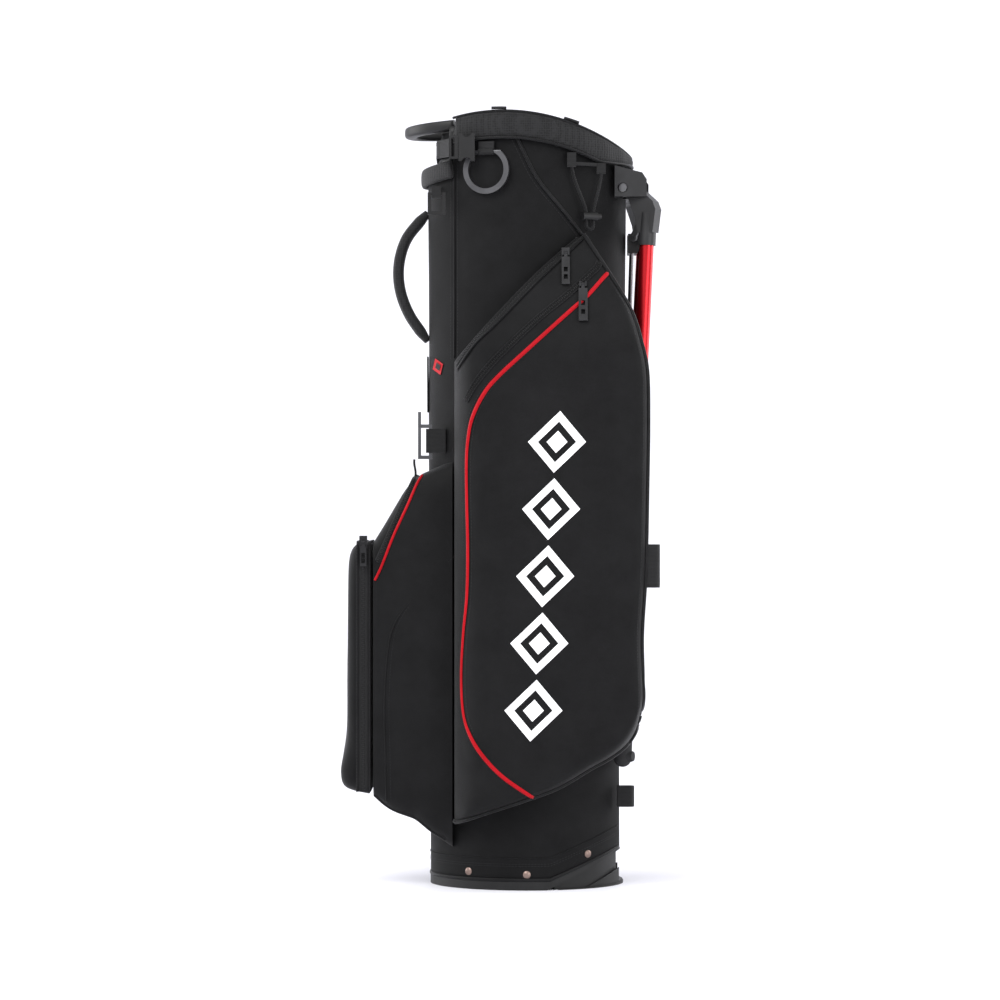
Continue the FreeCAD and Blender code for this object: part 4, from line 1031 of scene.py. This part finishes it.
def collar():
    """Padded mesh collar: a crowned band that turns over the rim, with bound edges."""
    start = math.degrees(math.acos(-82.0 / 117.0))
    count = 190
    rings = []
    edges = ([], [])
    for k in range(count + 1):
        angle = math.radians(-start + 2 * start * k / count)
        end = min(k, count - k) / count * 60
        full = 0.25 + 0.75 * round_end(end)
        x_mid = (BODY_TOP_A + 4 * MM) * math.cos(angle)
        high = crown(x_mid)
        low = max(high - COLLAR_HEIGHT, 812.4 * MM) if x_mid > 60 * MM else high - COLLAR_HEIGHT
        depth = high - low
        profile = [(0.5, depth), (3.5, depth), (6.4, depth * 0.94), (7.6, depth * 0.78), (8.2, depth * 0.5),
                   (7.7, depth * 0.2), (6.2, 2.6 * MM), (3.4, 0.6 * MM), (-1.0, 0.0), (-4.6, 0.9 * MM),
                   (-6.6, 2.8 * MM), (-6.8, 5.0 * MM), (-3.0, 5.4 * MM), (0.5, 5.5 * MM)]
        ring = []
        puff = 0.35 * math.sin(angle * 23.0)
        for out, down in profile:
            o = (0.5 + (out - 0.5) * full + (puff if out > 7 else 0)) * MM
            c, s = math.cos(angle), math.sin(angle)
            ring.append(Vector(((BODY_TOP_A + o) * c, (BODY_TOP_B + o) * s, high - down)))
        rings.append(ring)
        c, s = math.cos(angle), math.sin(angle)
        for edge, (out, down) in zip(edges, ((7.6, depth - 1.0 * MM), (6.0, 2.4 * MM))):
            o = out * MM
            place = Vector(((BODY_TOP_A + o) * c, (BODY_TOP_B + o) * s, high - down))
            edge.append((place, Vector((c, s, 0))))
    width = len(rings[0])
    points = [p for ring in rings for p in ring]
    faces = grid_faces(count + 1, width, wrap_columns=True)
    faces += [tuple(range(width)), tuple(count * width + k for k in range(width))]
    pad = make_mesh("collar_pad", points, faces, MESH_CLOTH)
    finish_piece(pad, ["cuff_pad"], levels=1)
    pieces = [sweep("edge", [p for p, _ in edge], [o for _, o in edge], circle(1.5 * MM), BLACK_CORD)
              for edge in edges]
    line = [p - Vector((0, 0, 4 * MM)) for p, _ in edges[1]]
    pieces.append(stitches("row", line, [o for _, o in edges[1]], 2.0 * MM))
    finish_piece(join("collar_binding", pieces))


def lower_roll():
    """Padded roll round the rear of the top."""
    path = []
    out = []
    for k in range(121):
        angle = math.radians(136 + (224 - 136) * k / 120)
        x = (BODY_TOP_A + 4.2 * MM) * math.cos(angle)
        y = (BODY_TOP_B + 4.2 * MM) * math.sin(angle)
        z = (806.0 + (x / MM + 84.5) * 0.18) * MM
        path.append(Vector((x, y, z)))
        out.append(Vector((math.cos(angle), math.sin(angle), 0)))

    def section(t):
        scale = 0.55 + 0.45 * round_end(min(t, 1 - t) * 22)
        return [(s, u * scale) for s, u in soft_box(20.5 * MM, 7.4 * MM, 2.8, 22)]

    roll = sweep("rear_roll", path, out, section, MESH_CLOTH)
    finish_piece(roll, ["rear_pad"], levels=1)


REAR_DIP_X = -98.5 * MM         # behind this the moulded ring stays low, under the strap


def top_ring():
    """The moulded ring under the collar; it dips behind, under the strap."""
    points = []
    count = 200
    for o, drop in ((-2.4, 44.0), (-2.4, 6.4), (-4.2, 6.0), (-6.2, 7.0), (-6.2, 43.0), (-4.2, 44.6)):
        for j in range(count):
            angle = math.tau * j / count
            x = (BODY_TOP_A + o * MM) * math.cos(angle)
            y = (BODY_TOP_B + o * MM) * math.sin(angle)
            rear = min(1.0, max(0.0, (-76 * MM - x) / (8 * MM)))
            top = crown(x) - drop * MM
            dip = min(1.0, max(0.0, (REAR_DIP_X + 2 * MM - x) / (3 * MM)))
            level = (848.0 - 37.0 * dip if drop < 20 else 793.0) * MM
            points.append(Vector((x, y, top + (level - top) * rear)))
    return make_mesh("ring", points, grid_faces(6, count, True, True), PLASTIC)


def grab_handle():
    """Moulded handle that loops out behind the top, on two posts, and the ring it is part of."""
    path = []
    for k in range(61):
        angle = math.radians(108 + (252 - 108) * k / 60)
        x = -60 + 72.0 * math.cos(angle)
        y = 56.0 * math.sin(angle)
        path.append(Vector((x, y, 856.4 + (x + 82) * 0.075)) * MM)

    def section(t):
        middle = math.sin(math.pi * t)
        return soft_box((12.0 + 2.6 * middle) * MM, (12.4 + 0.4 * middle) * MM, 3.4, 24)

    loop = sweep("grab_handle_loop", path, UP, section, PLASTIC)
    pieces = [loop, top_ring()]
    for side in (NEAR, FAR):
        post = [Vector((-80, side * 55.0, z)) * MM for z in (812, 824, 836, 848, 855)]
        pieces.append(sweep("post", post, Vector((0, 1, 0)), soft_box(16 * MM, 11 * MM, 3.5, 20), PLASTIC))
    finish_piece(join("moulded_top_ring", pieces), ["cuff_frame"])


def four_way_bars():
    """Padded bars of the four-way top, with a stud over each end of the two long ones."""
    pieces = []
    for x in BAR_XS:
        high = crown(x * MM) / MM
        reach = 88.8 * math.sqrt(1 - (x / 106.6) ** 2) - 1.0
        path = []
        for k in range(41):
            y = -reach + 2 * reach * k / 40
            drop = 4.6 * max(0.0, abs(y) / reach - 0.6) / 0.4
            path.append(Vector((x, y, high - 11.6 - drop)) * MM)
        pieces.append(sweep("bar", path, UP, soft_box(13.6 * MM, 16.4 * MM, 2.6, 24), MESH_CLOTH))
    path = [Vector((-26.5 + 69 * k / 20, 0, 857.2 - 9.4 * k / 20)) * MM for k in range(21)]
    pieces.append(sweep("cross", path, UP, soft_box(11.6 * MM, 16.0 * MM, 2.6, 24), MESH_CLOTH))
    for x in BAR_XS:
        for side in (NEAR, FAR):
            y = side * 100.0 * math.sqrt(1 - (x / 118.0) ** 2)
            seat = [Vector((x + dx, y, crown((x + dx) * MM) / MM + 1.0)) * MM for dx in (-8.4, -5, 0, 5, 8.4)]
            pieces.append(sweep("stud", seat, UP, soft_box(9 * MM, 3.0 * MM, 2.6, 20), PLASTIC))
    bars = finish_piece(join("four_way_bars", pieces), ["divider_bars"])


DIVIDERS = (
    # name, x of its middle, lowest z, highest z, half width, whether it runs across the bag; millimetres
    ("rear_divider", BAR_XS[0], 8.5, crown(BAR_XS[0] * MM) / MM - 21.0, 79.0, True),
    ("front_divider", BAR_XS[1], 61.0, crown(BAR_XS[1] * MM) / MM - 21.0, 69.0, True),
    ("middle_divider", 8.5, 61.0, 836.0, 38.4, False),
)


def divider_panels():
    """The cloth panels that hang from the bars."""
    rows, columns = 60, 30
    for name, x, low, high, span, across in DIVIDERS:
        points = []
        for i in range(rows):
            z = low + (high - low) * i / (rows - 1)
            for j in range(columns):
                v = -span + 2 * span * j / (columns - 1)
                loose = math.sin(math.pi * i / (rows - 1)) * math.sin(math.pi * j / (columns - 1))
                wave = 3.0 * loose * math.sin(v * 0.05 + z * 0.011)
                p = (x + wave, v, z) if across else (x + v, wave, z)
                points.append(Vector(p) * MM)
        sheet = make_mesh(name, points, grid_faces(rows, columns), LINING)
        solid = sheet.modifiers.new("thick", "SOLIDIFY")
        solid.thickness = 0.9 * MM
        solid.offset = 0.0
        finish_piece(sheet, ["divider_panels"] if name == "rear_divider" else ())


# ---------------------------------------------------------------- webbing and small soft parts
def strap(name, path, up, width, thick):
    """A flat strap with rounded edges and a stitch row along each edge."""
    made = [sweep(name, path, up, soft_box(width, thick, 4.0, 16), WEBBING)]
    for edge in (-1, 1):
        line = [p + side * (edge * (width / 2 - 2.2 * MM)) for p, side, _ in frames(path, up)]
        made.append(stitches("row", line, up, thick / 2 + 0.1 * MM))
    return join(name, made)


HAUL_LINE = [(-113, 762), (-124, 750), (-137, 733), (-144.5, 712), (-146.5, 690), (-143, 668), (-134, 646),
             (-122, 628), (-113, 616)]


def carry_handle():
    """The padded haul handle on the spine, and the webbing below it."""
    spine = flat_path(HAUL_LINE, 3)

    def section(t):
        full = min(1.0, math.sin(math.pi * t) * 4.0)
        return soft_box((22 + 5 * full) * MM, (8.0 + 4.6 * full) * MM, 2.8, 24)

    out = [Vector((-1, 0, 0)) for _ in spine]
    grip = sweep("haul_handle", spine, out, section, MESH_CLOTH)
    rows = []
    for y in (-9, 9):
        line = [p + Vector((-5.6 * MM * math.sin(math.pi * i / (len(spine) - 1)) ** 0.6, y * MM, 0))
                for i, p in enumerate(spine)]
        rows.append(stitches("row", line, out, 0.6 * MM))
    handle = finish_piece(join("haul_handle", [grip] + rows), ["carry_handle"])
    spine_line = [Vector((-(body_axes(z * MM)[0] + 1.2 * MM), 0, z * MM)) for z in range(535, 601, 3)]
    low = strap("spine_strap", spine_line, Vector((-1, 0, 0)), 27.6 * MM, 1.9 * MM)
    finish_piece(low, ["spine_webbing"])


def red_label():
    """Small folded red tab on the near rear seam, with a dark middle."""
    def skin(x, z, lift):
        return Vector((x, body_y(x, z, lift), z))

    corners = [(-107, 583), (-98, 576), (-95, 588), (-104, 595)]
    inner = [(-100.9 + (x + 100.9) * 0.5, 585.5 + (z - 585.5) * 0.5) for x, z in corners]
    made = []
    layers = ((corners, 0.2, 1.1, RED_CLOTH), (inner, 1.0, 1.5, BLACK_CORD))
    for shape, low, high, material in layers:
        points = [skin(x * MM, z * MM, lift * MM) for lift in (low, high) for x, z in shape]
        faces = [(0, 1, 2, 3), (4, 5, 6, 7)] + [(k, (k + 1) % 4, 4 + (k + 1) % 4, 4 + k) for k in range(4)]
        made.append(make_mesh("label", points, faces, material, smooth=False))
    finish_piece(join("red_label", made), ["red_tab"])


def rear_band():
    """Webbing pulled straight across the back of the top, ending at the far end of the collar."""
    plan = [(-97.6, -70.6), (-100.4, -66), (-101.6, -60), (-101.8, -30), (-101.8, 30), (-101.6, 60),
            (-100.4, 66), (-97.6, 70.2), (-90, 72.4), (-82.6, 74.2)]
    path = smooth_path([Vector((x, y, 827.5)) * MM for x, y in plan], 2.0 * MM)
    out = [Vector((-1, 0, 0)) if abs(p.y) < 62 * MM else Vector((-0.5, math.copysign(1, p.y), 0))
           for p in path]
    finish_piece(strap("rear_band", path, out, 19.6 * MM, 1.4 * MM), ["rear_strap"])


def body_seams():
    """Long seams, their stitching and the piping that climbs from the pocket to the collar."""
    pieces = []
    for side in (NEAR, FAR):
        def skin(x, z, lift):
            return Vector((x, -side * body_y(x, z, lift), z))

        rise = [Vector((-82, 0, z)) * MM for z in range(594, 846, 4)]
        path = [skin(p.x, p.z, 0.7 * MM) for p in rise]
        out = [Vector((-0.62, side * 0.78, 0)) for _ in path]
        pieces.append(sweep("seam", path, out, soft_box(2.4 * MM, 1.8 * MM, 2.0, 10), BODY_CLOTH))
        for shift in (-4, 4):
            line = [skin(p.x + shift * MM, p.z, 0.4 * MM) for p in rise]
            pieces.append(stitches("row", line, out))
        climb = flat_path([(61, 731), (50, 745), (36, 762), (10, 794), (-12, 838)], 2.0)
        path = [skin(p.x, p.z, 1.6 * MM) for p in climb]
        out = [Vector((p.x * 1.2, side * 0.09, 0)).normalized() for p in climb]
        pieces.append(sweep("piping", path, out, circle(1.9 * MM), BLACK_CORD))
        line = [skin(p.x - 5 * MM, p.z - 3 * MM, 0.4 * MM) for p in climb]
        pieces.append(stitches("row", line, out))
        low = [Vector((-90, 0, z)) * MM for z in range(44, 500, 4)]
        line = [skin(p.x, p.z, 0.4 * MM) for p in low]
        pieces.append(stitches("row", line, [Vector((-0.6, side * 0.8, 0)) for _ in line]))
    finish_piece(join("body_seams", pieces))


SIDE_LOOPS = (
    # x where it is sewn on, where it starts to turn and at its tip; y of its middle; its lowest and highest z
    ((130, 141, 145.6), -117.0, (338.0, 386.0)),
    ((101, 115, 119.8), -48.0, (89.6, 113.4)),
)


def side_loop_pieces():
    """Two small webbing loops on the leg side, each a short strap folded back on itself."""
    made = []
    for (near, bend, tip), middle, tall in SIDE_LOOPS:
        fold_line = [(near, middle - 4.0), (bend, middle - 4.2), (tip - 1.3, middle - 2.4), (tip, middle),
                     (tip - 1.3, middle + 2.4), (bend, middle + 4.2), (near, middle + 4.0)]
        level = (tall[0] + tall[1]) / 2
        line = smooth_path([Vector((x, y, level)) * MM for x, y in fold_line], 1.2 * MM)
        section = soft_box(1.5 * MM, (tall[1] - tall[0]) * MM, 8.0, 24)
        made.append(sweep("loop", line, UP, section, WEBBING))
        for z in (tall[0] + 3, tall[1] - 3):
            row = [Vector((near + (bend - near) * k / 6, middle - 4.9, z)) * MM for k in range(7)]
            made.append(stitches("row", row, Vector((0, -1, 0)), 0.1 * MM))
    finish_piece(join("side_loops_cloth", made), ["side_loops"])


# ---------------------------------------------------------------- CAD pieces that stay
ZIPS = ("upper", "garment", "far", "ball")
CAD_FINISH = (
    (BASE_PLASTIC, ["base_cup", "base_foot"]),
    (STEEL, ["foot_hinge_pin", "leg_pins", "actuator_wire"]),
    (BRONZE, ["base_rivets"]),
    (GREY_PLASTIC, ["frame_stays", "leg_bracket", "leg_knuckle_near", "leg_knuckle_far", "link_near",
                    "link_far"]),
    (PLASTIC, ["crosshead", "wire_guides", "strap_ring", "buckle_female", "buckle_male", "cord_lock",
               "cord_lock_button"]),
    (RED_METAL, ["leg_tube_near", "leg_tube_far"]),
    (RUBBER, ["leg_foot_near", "leg_foot_far"]),
    (GUNMETAL, ["towel_ring", "hip_clip"]),
    (WEBBING, ["webbing_tabs", "buckle_web", "umbrella_tab"]),
    (PULL_METAL, ["zip_slider_" + place for place in ZIPS] + ["zip_pull_" + place for place in ZIPS]),
)


def dress_cad_nodes():
    """Give every CAD piece that stays in view its finish."""
    for material, names in CAD_FINISH:
        for name in names:
            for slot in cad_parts[name].material_slots:
                slot.material = material


# ---------------------------------------------------------------- room and light
def make_floor():
    """A pale floor that curves up behind the bag."""
    material, tree, shader = node_material("floor_paint")
    set_inputs(shader, Roughness=0.55)
    cloud = texture(tree, "ShaderNodeTexNoise", Scale=0.7, Detail=2.0)
    tree.links.new(ramp(tree, cloud.outputs["Fac"], grey(0.84), grey(0.88)), shader.inputs["Base Color"])
    profile = [(-9.0, 0.0), (2.2, 0.0)]
    profile += [(2.2 + 1.6 * math.sin(math.radians(k * 6)), 1.6 - 1.6 * math.cos(math.radians(k * 6)))
                for k in range(1, 16)]
    profile.append((3.8, 9.0))
    points = []
    for y, z in profile:
        points += [Vector((-12, y, z)), Vector((12, y, z))]
    floor = make_mesh("floor", points, grid_faces(len(profile), 2), material)


WORLD_STRENGTH = 0.95
KEY_POWER = 95.0
FILL_POWER = 38.0
RIM_POWER = 46.0
LIGHT_AIM = (0, 0, 0.45)


def area_light(name, place, width, height, power):
    """A soft rectangular lamp turned to the middle of the bag."""
    data = bpy.data.lights.new(name, "AREA")
    data.shape = "RECTANGLE"
    data.size = width
    data.size_y = height
    data.energy = power
    lamp = bpy.data.objects.new(name, data)
    lamp.location = place
    lamp.rotation_euler = (Vector(LIGHT_AIM) - Vector(place)).to_track_quat("-Z", "Y").to_euler()
    bpy.context.scene.collection.objects.link(lamp)


def light_room():
    """Bright studio: white surroundings, a large key, a softer fill and a tall lamp on each side behind."""
    world = bpy.data.worlds.new("room")
    world.use_nodes = True
    background = world.node_tree.nodes["Background"]
    background.inputs["Color"].default_value = (1.0, 1.0, 1.0, 1)
    background.inputs["Strength"].default_value = WORLD_STRENGTH
    bpy.context.scene.world = world
    area_light("key", (-1.4, -2.4, 2.9), 2.2, 2.2, KEY_POWER)
    area_light("fill", (2.2, -2.6, 1.2), 1.8, 1.8, FILL_POWER)
    area_light("rim_left", (-2.6, 0.6, 1.2), 1.6, 2.4, RIM_POWER)
    area_light("rim_right", (2.6, 0.8, 1.4), 1.6, 2.4, RIM_POWER)
    bpy.context.scene.view_settings.view_transform = "Standard"


# ---------------------------------------------------------------- everything
body_skin()
hem_trim()
body_seams()
near_pocket_pieces()
far_pocket_pieces()
emblem()
side_pocket_skin()
ball_skin()
ball_zip()
side_trim()
drink_pocket_tab()
collar()
lower_roll()
grab_handle()
four_way_bars()
divider_panels()
carry_handle()
red_label()
rear_band()
side_loop_pieces()
dress_cad_nodes()
make_floor()
light_room()
